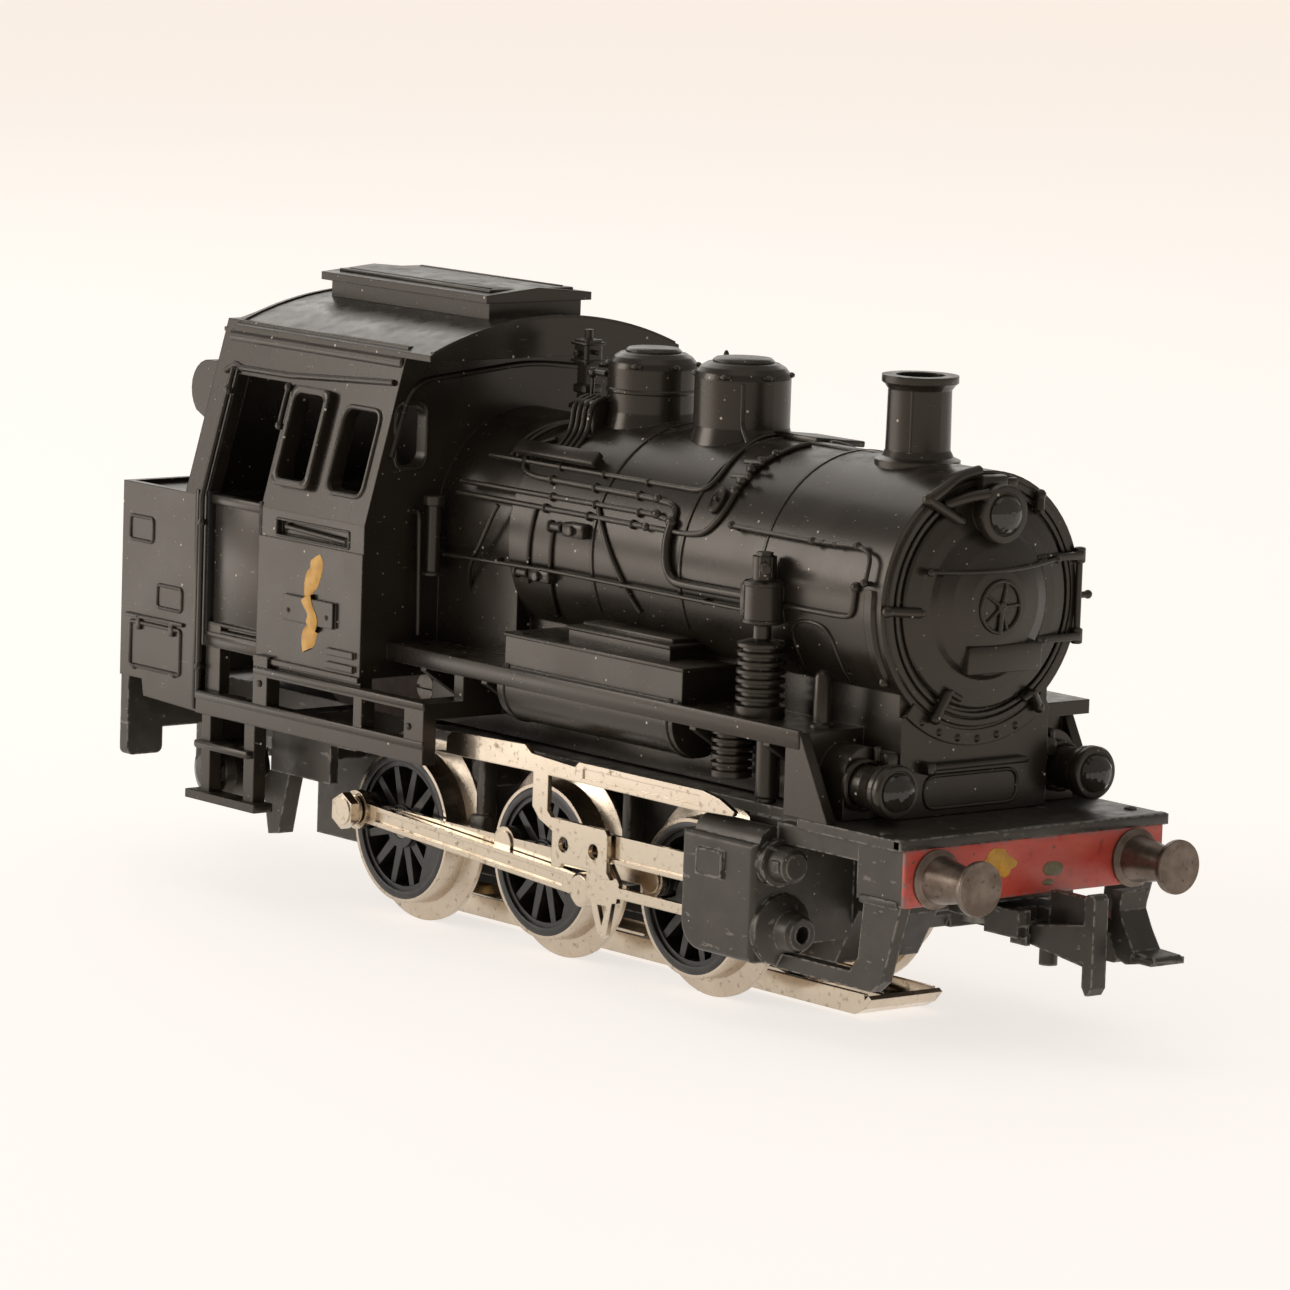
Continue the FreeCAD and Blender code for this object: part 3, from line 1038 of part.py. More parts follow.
def rear_valve():
    """Slim valve column between the cab and the rear dome."""
    neck = box((-6.4, -5.2), (-0.6, 0.6), (40.5, 46.3))
    head = rounded_box((-6.7, -4.95), (-0.88, 0.88), (46.2, 48.2), 0.3, 2)
    finial = cyl_z(0.35, -5.8, 0, (48.1, 49.0))
    return [neck, head, finial]


def front_part():
    solids = boiler() + saddle() + running_boards() + air_pump() + lamps() + rear_valve()
    solids.append(dome(FRONT_DOME_X, 3.8, 48.6, 4.2))
    solids.append(dome(REAR_DOME_X, 3.6, 48.3, 4.0))
    solids.append(chimney())
    return cut(fuse(solids), inner_space())


def body_shell():
    backhead_hole = cyl_x(7.6, (CAB_X[1] - 1.5, CAB_X[1] + 0.2), 0, 30.0)
    motor_way = box((CAB_X[1] - 1.5, CAB_X[1] + 0.1), (-8.45, 8.45), (CAB_LOWER_Z - 1, 33.6))
    bunker_way = box((CAB_X[0] - 0.5, CAB_X[0] + WALL + 0.1), (-12.0, 12.0), (14.0, 31.0))
    rear = cut(fuse([cab(), bunker()]), [backhead_hole, motor_way, bunker_way])
    side_parts = [make(s) for make in (side_frame, reservoir) for s in (-1, 1)]
    return fuse([rear, front_part()] + side_parts)


def body_screw():
    """Long screw down the chimney into the chassis post."""
    head = cyl_z(1.7, CHIMNEY_X, 0, (34.4, 35.8))
    shank = cyl_z(0.95, CHIMNEY_X, 0, (22.0, 34.5))
    slot = box((CHIMNEY_X - 3, CHIMNEY_X + 3), (-0.25, 0.25), (35.2, 37.0))
    return cut(fuse([head, shank]), [slot])


# ---------------------------------------------------------------- all sub-parts
def all_parts():
    parts = {
        "chassis_frame": chassis_frame(),
        "body_shell": body_shell(),
        "body_screw": body_screw(),
        "front_buffers": front_buffers(),
        "rear_buffers": rear_buffers(),
        "upper_lamp_lens": upper_lamp_lens(),
        "lower_lamp_lenses": lower_lamp_lenses(),
        "gear_studs": gear_studs(),
        "reduction_gear": reduction_gear(),
        "idler_gear_rear": idler_gear(0),
        "idler_gear_front": idler_gear(1),
        "armature_shaft": armature_shaft(),
        "armature_core": armature_core(),
        "armature_windings": armature_windings(),
        "commutator": commutator(),
        "field_magnet": field_magnet(),
        "field_coil": field_coil(),
        "motor_shield": motor_shield(),
        "shield_screws": shield_screws(),
        "brush_upper": brush(1),
        "brush_lower": brush(-1),
        "brush_spring_upper": brush_spring(1),
        "brush_spring_lower": brush_spring(-1),
        "relay_frame": relay_frame(),
        "relay_coil": relay_coil(),
        "relay_lever": relay_lever(),
        "bulb": bulb(),
        "bulb_socket": bulb_socket(),
        "pickup_shoe": pickup_shoe(),
        "shoe_carrier": shoe_carrier(),
        "shoe_spring": shoe_spring(),
        "shoe_screw": shoe_screw(),
        "coupler_front_arm": coupler_arm(),
        "coupler_front_hook": coupler_hook(),
        "coupler_rear_arm": mirror_x(coupler_arm()),
        "coupler_rear_hook": mirror_x(coupler_hook()),
        "coupler_pins": coupler_pins(),
    }
    for index, name in enumerate(WHEEL_NAMES):
        x = WHEEL_X[index]
        parts["axle_" + name] = axle(x)
        parts["wheel_centres_" + name] = wheel_centres(x)
        parts["tyres_" + name] = tyres(x)
        parts["crank_pins_" + name] = crank_pins(index)
        parts["wheel_gear_" + name] = wheel_gear(index)
    for s, name, degrees in SIDES:
        parts["coupling_rod_" + name] = coupling_rod(s, degrees)
        parts["main_rod_" + name] = main_rod(s, degrees)
        parts["crosshead_" + name] = crosshead(s, degrees)
        parts["motion_bracket_" + name] = motion_bracket(s)
    return parts


os.makedirs("parts", exist_ok=True)
for node, shape in all_parts().items():
    shape.exportStep(os.path.join("parts", node + ".step"))
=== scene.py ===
import json
import math
import random

import bmesh
import bpy
from mathutils import Matrix, Vector


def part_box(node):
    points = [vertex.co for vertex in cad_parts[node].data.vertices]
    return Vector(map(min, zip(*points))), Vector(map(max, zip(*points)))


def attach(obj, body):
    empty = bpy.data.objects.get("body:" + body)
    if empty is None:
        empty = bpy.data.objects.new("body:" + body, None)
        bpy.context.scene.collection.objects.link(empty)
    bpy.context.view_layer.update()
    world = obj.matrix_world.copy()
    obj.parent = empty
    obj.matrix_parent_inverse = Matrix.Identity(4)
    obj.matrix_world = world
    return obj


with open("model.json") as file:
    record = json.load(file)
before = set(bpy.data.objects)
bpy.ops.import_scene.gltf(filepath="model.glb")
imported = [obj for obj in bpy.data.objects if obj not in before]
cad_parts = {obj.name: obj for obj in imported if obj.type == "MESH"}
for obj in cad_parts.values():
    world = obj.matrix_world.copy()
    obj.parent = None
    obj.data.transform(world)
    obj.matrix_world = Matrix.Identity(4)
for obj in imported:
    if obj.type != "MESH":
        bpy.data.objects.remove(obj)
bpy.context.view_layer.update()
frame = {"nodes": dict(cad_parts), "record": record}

# All shapes are written in millimetres in the row frame and scaled to metres when a piece is made.
MM = 0.001
SHARP_ANGLE = math.radians(40)
RIGHT, LEFT = -1, 1
BOTH = (RIGHT, LEFT)
X_AXIS, Y_AXIS, Z_AXIS = Vector((1, 0, 0)), Vector((0, 1, 0)), Vector((0, 0, 1))

# body
BOILER_Z = 33.0
BOILER_R = 9.8
SMOKEBOX_X = 42.6
DOOR_X = 43.1
SADDLE_X = 42.5
LENS_DOME = 0.92
CYLINDER_FRONT = 34.9
AXLE_HEIGHT = 7.87
WHEEL_X = {"rear": -15.53, "middle": 3.14, "front": 21.8}
CRANK_THROW = 3.8
CAB_SIDE = 16.28
CAB_WAIST_Z = 33.0
CAB_EAVES_HALF = 12.45
CAB_EAVES_Z = 46.9
CAB_FRONT_X = -13.4
CAB_REAR_X = -38.2
BUNKER_REAR_X = -47.15
BOARD_HALF = 13.7
BOARD_TOP_Z = 23.3


def node_box(name):
    """Lowest and highest corner of a CAD node in millimetres."""
    low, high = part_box(name)
    return low / MM, high / MM


def circle(count):
    """The angles of count points evenly round a circle."""
    return [2 * math.pi * i / count for i in range(count)]


# ---------------------------------------------------------------- shape building
class Shape:
    """Collects geometry in millimetres and turns it into one piece."""

    def __init__(self):
        self.bm = bmesh.new()

    def faces_from(self, rings, close_rings=True, caps=True):
        """Skins a list of point rings of equal length."""
        loops = [[self.bm.verts.new(p) for p in ring] for ring in rings]
        count = len(loops[0])
        last = count if close_rings else count - 1
        for low, high in zip(loops, loops[1:]):
            for i in range(last):
                j = (i + 1) % count
                self.bm.faces.new((low[i], low[j], high[j], high[i]))
        if caps:
            self.bm.faces.new(list(reversed(loops[0])))
            self.bm.faces.new(loops[-1])

    def box(self, x, y, z, bevel=0.12, turn=None):
        """Box with rounded edges; turn is an optional (centre, axis, degrees)."""
        size = Vector((abs(x[1] - x[0]), abs(y[1] - y[0]), abs(z[1] - z[0])))
        centre = Vector((sum(x) / 2, sum(y) / 2, sum(z) / 2))
        matrix = Matrix.Translation(centre) @ Matrix.Diagonal((*size, 1))
        made = bmesh.ops.create_cube(self.bm, size=1.0, matrix=matrix)
        edges = {e for v in made["verts"] for e in v.link_edges}
        bevel = min(bevel, min(size) * 0.45)
        if bevel > 0:
            made = bmesh.ops.bevel(self.bm, geom=list(edges), offset=bevel, segments=2,
                                   affect="EDGES", profile=0.5)
        if turn:
            verts = {v for f in made["faces"] for v in f.verts}
            spin = Matrix.Rotation(math.radians(turn[2]), 3, turn[1])
            bmesh.ops.rotate(self.bm, verts=list(verts), cent=turn[0], matrix=spin)

    def lathe(self, profile, origin, axis=X_AXIS, steps=48, caps=True):
        """Turned shape; profile holds (distance along axis, radius) pairs."""
        axis = Vector(axis).normalized()
        side = axis.orthogonal().normalized()
        other = axis.cross(side)
        rings = []
        for along, radius in profile:
            centre = Vector(origin) + axis * along
            radius = max(radius, 0.001)
            rings.append([centre + radius * (side * math.cos(a) + other * math.sin(a))
                          for a in circle(steps)])
        self.faces_from(rings, caps=caps)

    def rod(self, a, b, radius, end_radius=None, steps=16):
        """Round bar with softened ends."""
        a, b = Vector(a), Vector(b)
        length = (b - a).length
        end_radius = radius if end_radius is None else end_radius
        soft = min(radius, length) * 0.2
        profile = [(0, radius - soft), (soft, radius),
                   (length - soft, end_radius), (length, end_radius - soft)]
        self.lathe(profile, a, b - a, steps)

    def tube(self, points, radius, steps=10, closed=False):
        """Round tube along the points, which already hold its bends."""
        points = [Vector(p) for p in points]
        count = len(points)
        rings, normal = [], None
        for i, point in enumerate(points):
            before = points[i - 1] if i > 0 or closed else point
            after = points[(i + 1) % count] if i < count - 1 or closed else point
            along = (after - before).normalized()
            if normal is None:
                normal = along.orthogonal().normalized()
            normal = (normal - along * normal.dot(along)).normalized()
            other = along.cross(normal)
            rings.append([point + radius * (normal * math.cos(a) + other * math.sin(a))
                          for a in circle(steps)])
        if closed:
            rings.append(rings[0])
        self.faces_from(rings, caps=not closed)

    def plate(self, outline, thickness, place):
        """Flat plate from a 2-D outline; place turns (u, v, w) into a point, w being the height."""
        low = [self.bm.verts.new(place(u, v, 0.0)) for u, v in outline]
        high = [self.bm.verts.new(place(u, v, thickness)) for u, v in outline]
        count = len(outline)
        for i in range(count):
            j = (i + 1) % count
            self.bm.faces.new((low[i], low[j], high[j], high[i]))
        self.bm.faces.new(list(reversed(low)))
        self.bm.faces.new(high)

    def ball(self, centre, radius, steps=12, flatten=None):
        """Round knob, or an oval one when flattened."""
        matrix = Matrix.Translation(Vector(centre))
        if flatten:
            matrix = matrix @ Matrix.Diagonal((*flatten, 1))
        bmesh.ops.create_uvsphere(self.bm, u_segments=steps, v_segments=steps // 2,
                                  radius=radius, matrix=matrix)

    def piece(self, name, body, material):
        """Makes the object, gives it its material and lets it ride on a body."""
        bmesh.ops.remove_doubles(self.bm, verts=self.bm.verts, dist=1e-4)
        bmesh.ops.recalc_face_normals(self.bm, faces=self.bm.faces)
        self.bm.transform(Matrix.Scale(MM, 4))
        mesh = bpy.data.meshes.new(name)
        self.bm.to_mesh(mesh)
        self.bm.free()
        for polygon in mesh.polygons:
            polygon.use_smooth = True
        mesh.set_sharp_from_angle(angle=SHARP_ANGLE)
        mesh.materials.append(material)
        made = bpy.data.objects.new(name, mesh)
        bpy.context.scene.collection.objects.link(made)
        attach(made, body)


def rounded(points, radius, steps=5, closed=False):
    """The same path with its corners rounded."""
    points = [Vector(p) for p in points]
    count = len(points)
    path = []
    for i, corner in enumerate(points):
        if not closed and i in (0, count - 1):
            path.append(corner)
            continue
        before, after = points[i - 1] - corner, points[(i + 1) % count] - corner
        back = corner + before.normalized() * min(radius, before.length * 0.48)
        ahead = corner + after.normalized() * min(radius, after.length * 0.48)
        for k in range(steps + 1):
            t = k / steps
            path.append(back * (1 - t) ** 2 + corner * 2 * t * (1 - t) + ahead * t * t)
    return path


def divided(points, step):
    """The path with no run longer than step."""
    path = [Vector(points[0])]
    for a, b in zip(points, points[1:]):
        runs = max(1, math.ceil((Vector(b) - Vector(a)).length / step))
        path += [Vector(a).lerp(Vector(b), (k + 1) / runs) for k in range(runs)]
    return path


def rectangle(u, v, radius=0.0):
    """Outline of a rectangle with rounded corners, as 2-D pairs."""
    corners = [(u[0], v[0], 0), (u[1], v[0], 0), (u[1], v[1], 0), (u[0], v[1], 0)]
    if radius:
        corners = rounded(corners, radius, closed=True)
    return [(p[0], p[1]) for p in corners]


# ---------------------------------------------------------------- surfaces that details sit on
def on_boiler(x, degrees, lift=0.0, side=RIGHT):
    """Point on the boiler; 0 degrees is at mid-height on the side, 90 is the top."""
    angle = math.radians(degrees)
    reach = BOILER_R + lift
    return Vector((x, side * reach * math.cos(angle), BOILER_Z + reach * math.sin(angle)))


def boiler_path(stations, lift, side=RIGHT, bend=1.2):
    """Path over the boiler through (x, degrees) stations, with rounded corners."""
    arc = math.radians(1) * BOILER_R
    flat = rounded([(x, degrees * arc, 0) for x, degrees in stations], bend)
    return [on_boiler(p.x, p.y / arc, lift, side) for p in divided(flat, 0.8)]


def on_cab_side(x, z, lift=0.0, side=RIGHT):
    """Point on the cab side, upright below the waist and leaning in above it."""
    if z <= CAB_WAIST_Z:
        return Vector((x, side * (CAB_SIDE + lift), z))
    lean = (CAB_SIDE - CAB_EAVES_HALF) / (CAB_EAVES_Z - CAB_WAIST_Z)
    return Vector((x, side * (CAB_SIDE - lean * (z - CAB_WAIST_Z) + lift), z + lift * lean))


def side_span(side, inner, outer):
    """Distances from the middle turned into y values on one side."""
    return (side * inner, side * outer)


def cab_side_place(side):
    """Placing function for plates that lie on the cab side."""
    return lambda u, v, w: on_cab_side(u, v, w - 0.05, side)


# ---------------------------------------------------------------- materials
class Shader:
    """Small helper that wires a procedural material; positions are in millimetres."""

    def __init__(self, name, color, roughness, metallic=0.0, specular=0.5):
        self.material = bpy.data.materials.new(name)
        self.material.use_nodes = True
        self.tree = self.material.node_tree
        self.bsdf = self.tree.nodes["Principled BSDF"]
        self.bsdf.inputs["Metallic"].default_value = metallic
        self.bsdf.inputs["Specular IOR Level"].default_value = specular
        self.color = self.mix(0.0, color, color)
        self.rough = roughness
        coords = self.tree.nodes.new("ShaderNodeTexCoord").outputs["Object"]
        self.position = self.node("ShaderNodeVectorMath", 0, operation="SCALE", Vector=coords, Scale=1000.0)

    def feed(self, socket, value):
        """Gives the socket another node's output, or a plain value."""
        if isinstance(value, bpy.types.NodeSocket):
            self.tree.links.new(value, socket)
        else:
            socket.default_value = value

    def node(self, kind, output, operation=None, **inputs):
        """Adds a node; each input is named, or i and its number where its name isn't its own."""
        made = self.tree.nodes.new(kind)
        if operation:
            made.operation = operation
        for key, value in inputs.items():
            numbered = key[0] == "i" and key[1:].isdigit()
            self.feed(made.inputs[int(key[1:]) if numbered else key], value)
        return made.outputs[output]

    def math(self, operation, a, b=0.0):
        return self.node("ShaderNodeMath", 0, operation=operation, i0=a, i1=b)

    def noise(self, size, detail=3.0, stretch=(1, 1, 1)):
        """Noise from 0 to 1 whose features are about size millimetres across."""
        scale = self.node("ShaderNodeVectorMath", 0, operation="MULTIPLY", i0=self.position, i1=stretch)
        return self.node("ShaderNodeTexNoise", "Fac", Vector=scale, Scale=1.0 / size, Detail=detail)

    def step(self, value, low, high, to_low=0.0, to_high=1.0):
        """Spreads values between low and high over another range."""
        made = self.tree.nodes.new("ShaderNodeMapRange")
        self.tree.links.new(value, made.inputs["Value"])
        for key, number in (("From Min", low), ("From Max", high), ("To Min", to_low), ("To Max", to_high)):
            made.inputs[key].default_value = number
        return made.outputs["Result"]

    def mix(self, factor, a, b):
        """Colour between a and b."""
        made = self.tree.nodes.new("ShaderNodeMix")
        made.data_type = "RGBA"
        self.feed(made.inputs[0], factor)
        for socket, value in ((made.inputs[6], a), (made.inputs[7], b)):
            self.feed(socket, (*value, 1.0) if isinstance(value, tuple) else value)
        return made.outputs[2]

    def tint(self, mask, color):
        """Lays a colour over what is there, where the mask is 1."""
        self.color = self.mix(mask, self.color, color)

    def roughen(self, mask, amount):
        """Moves the roughness by amount where the mask is 1."""
        self.rough = self.math("ADD", self.rough, self.math("MULTIPLY", mask, amount))

    def rounding(self, radius):
        """The normal as it would be with every edge rounded."""
        bevel = self.tree.nodes.new("ShaderNodeBevel")
        bevel.samples = 4
        bevel.inputs["Radius"].default_value = radius * MM
        return bevel.outputs[0]

    def edges(self, radius, low=0.02, high=0.2):
        """1 on sharp outer edges, from the difference between the rounded and the true normal."""
        true = self.tree.nodes.new("ShaderNodeNewGeometry").outputs["Normal"]
        dot = self.node("ShaderNodeVectorMath", "Value", operation="DOT_PRODUCT",
                        i0=self.rounding(radius), i1=true)
        return self.step(dot, 1.0 - low, 1.0 - high)

    def facing_up(self, low=0.75, high=0.97):
        """1 where the surface faces up."""
        normal = self.tree.nodes.new("ShaderNodeNewGeometry").outputs["Normal"]
        height = self.node("ShaderNodeSeparateXYZ", "Z", Vector=normal)
        return self.step(height, low, high)

    def specks(self, size, share):
        """Small scattered dots, such as dust; share is the part of the cells that hold one."""
        cells = self.tree.nodes.new("ShaderNodeTexVoronoi")
        self.tree.links.new(self.position, cells.inputs["Vector"])
        cells.inputs["Scale"].default_value = 0.12 / size
        near = self.step(cells.outputs["Distance"], 0.085, 0.06)
        picked = self.step(self.node("ShaderNodeSeparateColor", 0, Color=cells.outputs["Color"]),
                           1.0 - share, 1.0 - share + 0.01)
        return self.math("MULTIPLY", near, picked)

    def relief(self, height, depth):
        """Adds a bump of the given depth in millimetres."""
        bump = self.tree.nodes.new("ShaderNodeBump")
        bump.inputs["Strength"].default_value = 1.0
        bump.inputs["Distance"].default_value = depth * MM
        self.tree.links.new(height, bump.inputs["Height"])
        earlier = self.bsdf.inputs["Normal"]
        if earlier.is_linked:
            self.tree.links.new(earlier.links[0].from_socket, bump.inputs["Normal"])
        self.tree.links.new(bump.outputs[0], earlier)

    def soft_edges(self, radius):
        """Rounds the look of sharp edges."""
        self.feed(self.bsdf.inputs["Normal"], self.rounding(radius))

    def done(self):
        """Finishes the material."""
        self.feed(self.bsdf.inputs["Base Color"], self.color)
        self.feed(self.bsdf.inputs["Roughness"], self.rough)
        return self.material


def black_plastic():
    """Glossy moulded plastic, dusty on top, with paler handled edges and dust specks."""
    s = Shader("black_plastic", (0.0135, 0.0105, 0.0078), 0.24)
    s.bsdf.inputs["Specular Tint"].default_value = (1.0, 0.88, 0.76, 1.0)
    s.soft_edges(0.16)
    cloud = s.noise(5.0)
    s.tint(s.step(cloud, 0.35, 0.75), (0.02, 0.0155, 0.011))
    s.roughen(s.step(cloud, 0.3, 0.7), 0.09)
    dust = s.math("MULTIPLY", s.facing_up(0.85, 1.0), s.step(s.noise(1.3, 6), 0.42, 0.72))
    s.tint(s.math("MULTIPLY", dust, 0.4), (0.09, 0.072, 0.052))
    s.roughen(dust, 0.18)
    rubbed = s.math("MULTIPLY", s.edges(0.1), s.step(s.noise(0.7), 0.45, 0.7, 0, 0.6))
    s.tint(rubbed, (0.14, 0.12, 0.1))
    for size, share, color in ((0.17, 0.35, (0.5, 0.45, 0.37)), (0.11, 0.8, (0.26, 0.23, 0.18))):
        speck = s.specks(size, share)
        s.tint(speck, color)
        s.roughen(speck, 0.4)
    fibres = s.step(s.noise(1.4, 3, (1, 1, 8)), 0.72, 0.74)
    s.tint(s.math("MULTIPLY", fibres, 0.4), (0.2, 0.17, 0.13))
    s.relief(s.noise(0.35, 4), 0.005)
    return s.done()


def cast_black():
    """Black paint on die-cast metal, worn to grey metal along the edges."""
    s = Shader("cast_black", (0.027, 0.023, 0.019), 0.33)
    s.bsdf.inputs["Specular Tint"].default_value = (1.0, 0.9, 0.8, 1.0)
    s.soft_edges(0.2)
    s.tint(s.step(s.noise(3.0), 0.4, 0.75), (0.045, 0.039, 0.032))
    s.roughen(s.step(s.noise(1.4), 0.35, 0.7), 0.16)
    wear = s.math("MULTIPLY", s.edges(0.26, 0.01, 0.12), s.step(s.noise(0.7, 5), 0.44, 0.54))
    s.tint(wear, (0.32, 0.3, 0.27))
    s.roughen(wear, 0.06)
    scuffs = s.step(s.noise(0.9, 6, (0.6, 1, 1.6)), 0.66, 0.71)
    s.tint(s.math("MULTIPLY", scuffs, 0.6), (0.2, 0.18, 0.16))
    s.tint(s.specks(0.1, 0.16), (0.45, 0.42, 0.37))
    s.relief(s.noise(0.5, 5), 0.015)
    return s.done()


def plated(name, color, roughness, grime, turned=None):
    """Nickel plating with smudges and brown grime; turned adds fine lathe lines."""
    s = Shader(name, color, roughness, metallic=1.0)
    s.soft_edges(0.08)
    smudge = s.noise(2.6, 3)
    s.roughen(s.step(smudge, 0.4, 0.8), 0.14)
    s.tint(s.step(smudge, 0.4, 0.85, 0, 0.5), tuple(c * k for c, k in zip(color, (0.72, 0.68, 0.62))))
    side_on = s.math("SUBTRACT", 1.0, s.facing_up(0.1, 0.6))
    grain = s.step(s.noise(0.5, 5), 0.58, 0.72)
    dirt = s.math("MULTIPLY", s.math("MULTIPLY", grain, side_on), grime)
    s.tint(dirt, (0.17, 0.125, 0.08))
    s.roughen(dirt, 0.2)
    s.tint(s.math("MULTIPLY", s.edges(0.35, 0.03, 0.4), grime * 0.4), (0.2, 0.15, 0.1))
    if turned:
        s.relief(s.noise(0.12, 2, turned), 0.004)
    return s.done()


def wheel_black():
    """Satin black of the cast wheel centres."""
    s = Shader("wheel_black", (0.011, 0.0095, 0.008), 0.28)
    s.soft_edges(0.12)
    s.tint(s.step(s.noise(1.2, 4), 0.5, 0.8), (0.035, 0.029, 0.023))
    s.roughen(s.step(s.noise(1.0), 0.4, 0.7), 0.15)
    s.tint(s.math("MULTIPLY", s.edges(0.1), 0.3), (0.12, 0.11, 0.1))
    s.relief(s.noise(0.4), 0.01)
    return s.done()


def brown_metal():
    """Turned buffers darkened to brown, rubbed bright on their rims."""
    s = Shader("brown_metal", (0.12, 0.088, 0.066), 0.34, metallic=0.75)
    s.soft_edges(0.08)
    s.tint(s.step(s.noise(1.3, 5), 0.4, 0.7), (0.2, 0.155, 0.122))
    s.tint(s.step(s.noise(0.5, 5), 0.6, 0.72, 0, 0.75), (0.045, 0.03, 0.022))
    s.tint(s.math("MULTIPLY", s.edges(0.12), 0.6), (0.4, 0.33, 0.27))
    s.relief(s.noise(0.3, 4), 0.008)
    return s.done()


def red_paint():
    """Brushed red paint, chipped to bare metal along its edges."""
    s = Shader("red_paint", (0.47, 0.05, 0.033), 0.38)
    s.soft_edges(0.1)
    s.tint(s.step(s.noise(2.5, 4, (1, 0.5, 1.4)), 0.4, 0.8), (0.56, 0.12, 0.08))
    s.tint(s.step(s.noise(1.0, 5), 0.58, 0.75, 0, 0.6), (0.22, 0.018, 0.014))
    chips = s.math("MULTIPLY", s.edges(0.55, 0.004, 0.05), s.step(s.noise(0.7, 5), 0.45, 0.53))
    s.tint(chips, (0.16, 0.145, 0.13))
    small = s.step(s.noise(0.5, 4), 0.69, 0.72)
    s.tint(small, (0.12, 0.09, 0.06))
    s.roughen(small, 0.2)
    s.relief(s.noise(0.6, 5), 0.02)
    return s.done()


def brush_paint(name, color, dark):
    """Thick hand-brushed enamel."""
    s = Shader(name, color, 0.4)
    s.tint(s.step(s.noise(0.8, 5), 0.35, 0.7), dark)
    s.relief(s.noise(0.5, 4), 0.03)
    return s.done()


def lens_glass():
    """Clear plastic of the lamp lenses, coloured dark as painted shade of the unlit lamp housing seen
    through it.
    """
    s = Shader("lens_glass", (0.045, 0.038, 0.03), 0.02)
    s.roughen(s.step(s.noise(1.5), 0.5, 0.8), 0.03)
    s.bsdf.inputs["Transmission Weight"].default_value = 0.35
    s.bsdf.inputs["IOR"].default_value = 1.49
    return s.done()


def metal(name, color, roughness, variation=0.6):
    """Plain machined metal, used for the inner works."""
    s = Shader(name, color, roughness, metallic=1.0)
    s.soft_edges(0.08)
    s.tint(s.step(s.noise(1.2, 5), 0.4, 0.75, 0, 0.8), tuple(c * variation for c in color))
    s.roughen(s.step(s.noise(0.8, 4), 0.4, 0.8), 0.15)
    s.relief(s.noise(0.4, 4), 0.006)
    return s.done()


def wound_wire():
    """Enamelled copper turns."""
    s = Shader("wound_wire", (0.42, 0.17, 0.07), 0.35, metallic=0.8)
    turns = s.tree.nodes.new("ShaderNodeTexWave")
    turns.inputs["Scale"].default_value = 1.6
    s.tree.links.new(s.position, turns.inputs["Vector"])
    s.tint(s.step(turns.outputs["Fac"], 0.2, 0.6), (0.2, 0.07, 0.03))
    s.relief(turns.outputs["Fac"], 0.05)
    return s.done()


def moulded(name, color, roughness=0.5):
    """Plain moulded material of the small inner parts."""
    s = Shader(name, color, roughness)
    s.soft_edges(0.1)
    s.tint(s.step(s.noise(1.5, 5), 0.35, 0.75), tuple(c * 1.6 for c in color))
    s.roughen(s.step(s.noise(0.9), 0.4, 0.7), 0.15)
    s.relief(s.noise(0.4, 4), 0.008)
    return s.done()


PLASTIC = black_plastic()
CAST = cast_black()
NICKEL = plated("nickel", (0.66, 0.565, 0.45), 0.14, 0.45)
ROD_NICKEL = plated("rod_nickel", (0.6, 0.515, 0.41), 0.17, 0.75)
TYRE_NICKEL = plated("tyre_nickel", (0.56, 0.475, 0.38), 0.2, 0.6, turned=(0.2, 6.0, 0.2))
WHEEL = wheel_black()
BUFFER = brown_metal()
RED = red_paint()
YELLOW = brush_paint("yellow_enamel", (0.58, 0.3, 0.03), (0.42, 0.2, 0.02))
OLIVE = brush_paint("olive_enamel", (0.13, 0.11, 0.055), (0.2, 0.16, 0.08))
GLASS = lens_glass()
STEEL = metal("plain_steel", (0.27, 0.25, 0.22), 0.38)
LAMINATION = metal("lamination", (0.2, 0.19, 0.18), 0.45)
BRASS = metal("gear_brass", (0.6, 0.44, 0.2), 0.3)
COPPER = metal("commutator_copper", (0.65, 0.33, 0.17), 0.25)
WIRE = wound_wire()
PHENOLIC = moulded("brown_phenolic", (0.035, 0.018, 0.011))
GEAR_PLASTIC = moulded("gear_plastic", (0.12, 0.065, 0.035))
CARBON = moulded("carbon", (0.03, 0.03, 0.032), 0.6)
INSULATOR = moulded("insulator", (0.006, 0.005, 0.004), 0.6)

NODE_MATERIALS = {
    "black_plastic": PLASTIC, "cast_black": CAST, "buffer_brown": BUFFER, "clear_lens": GLASS,
    "nickel": NICKEL, "nickel_rods": ROD_NICKEL, "tyre_nickel": TYRE_NICKEL, "wheel_black": WHEEL,
    "gear_brass": BRASS, "gear_plastic": GEAR_PLASTIC, "steel": STEEL, "lamination": LAMINATION,
    "copper": WIRE, "commutator_copper": COPPER, "brown_phenolic": PHENOLIC, "carbon": CARBON,
    "spring_steel": STEEL, "insulator": INSULATOR,
}


def dress_cad_nodes():
    """Gives every CAD node the finish of its material slot."""
    slots = {part["node"]: part["material_slot"] for part in frame["record"]["subparts"]}
    for name, node in frame["nodes"].items():
        for slot in node.material_slots:
            slot.material = NODE_MATERIALS[slots[name]]


def moulding(fill):
    """Turns a function that fills a shape into one that makes the black plastic piece of its name."""
    def build():
        s = Shape()
        fill(s)
        s.piece(fill.__name__, "frame", PLASTIC)
    return build


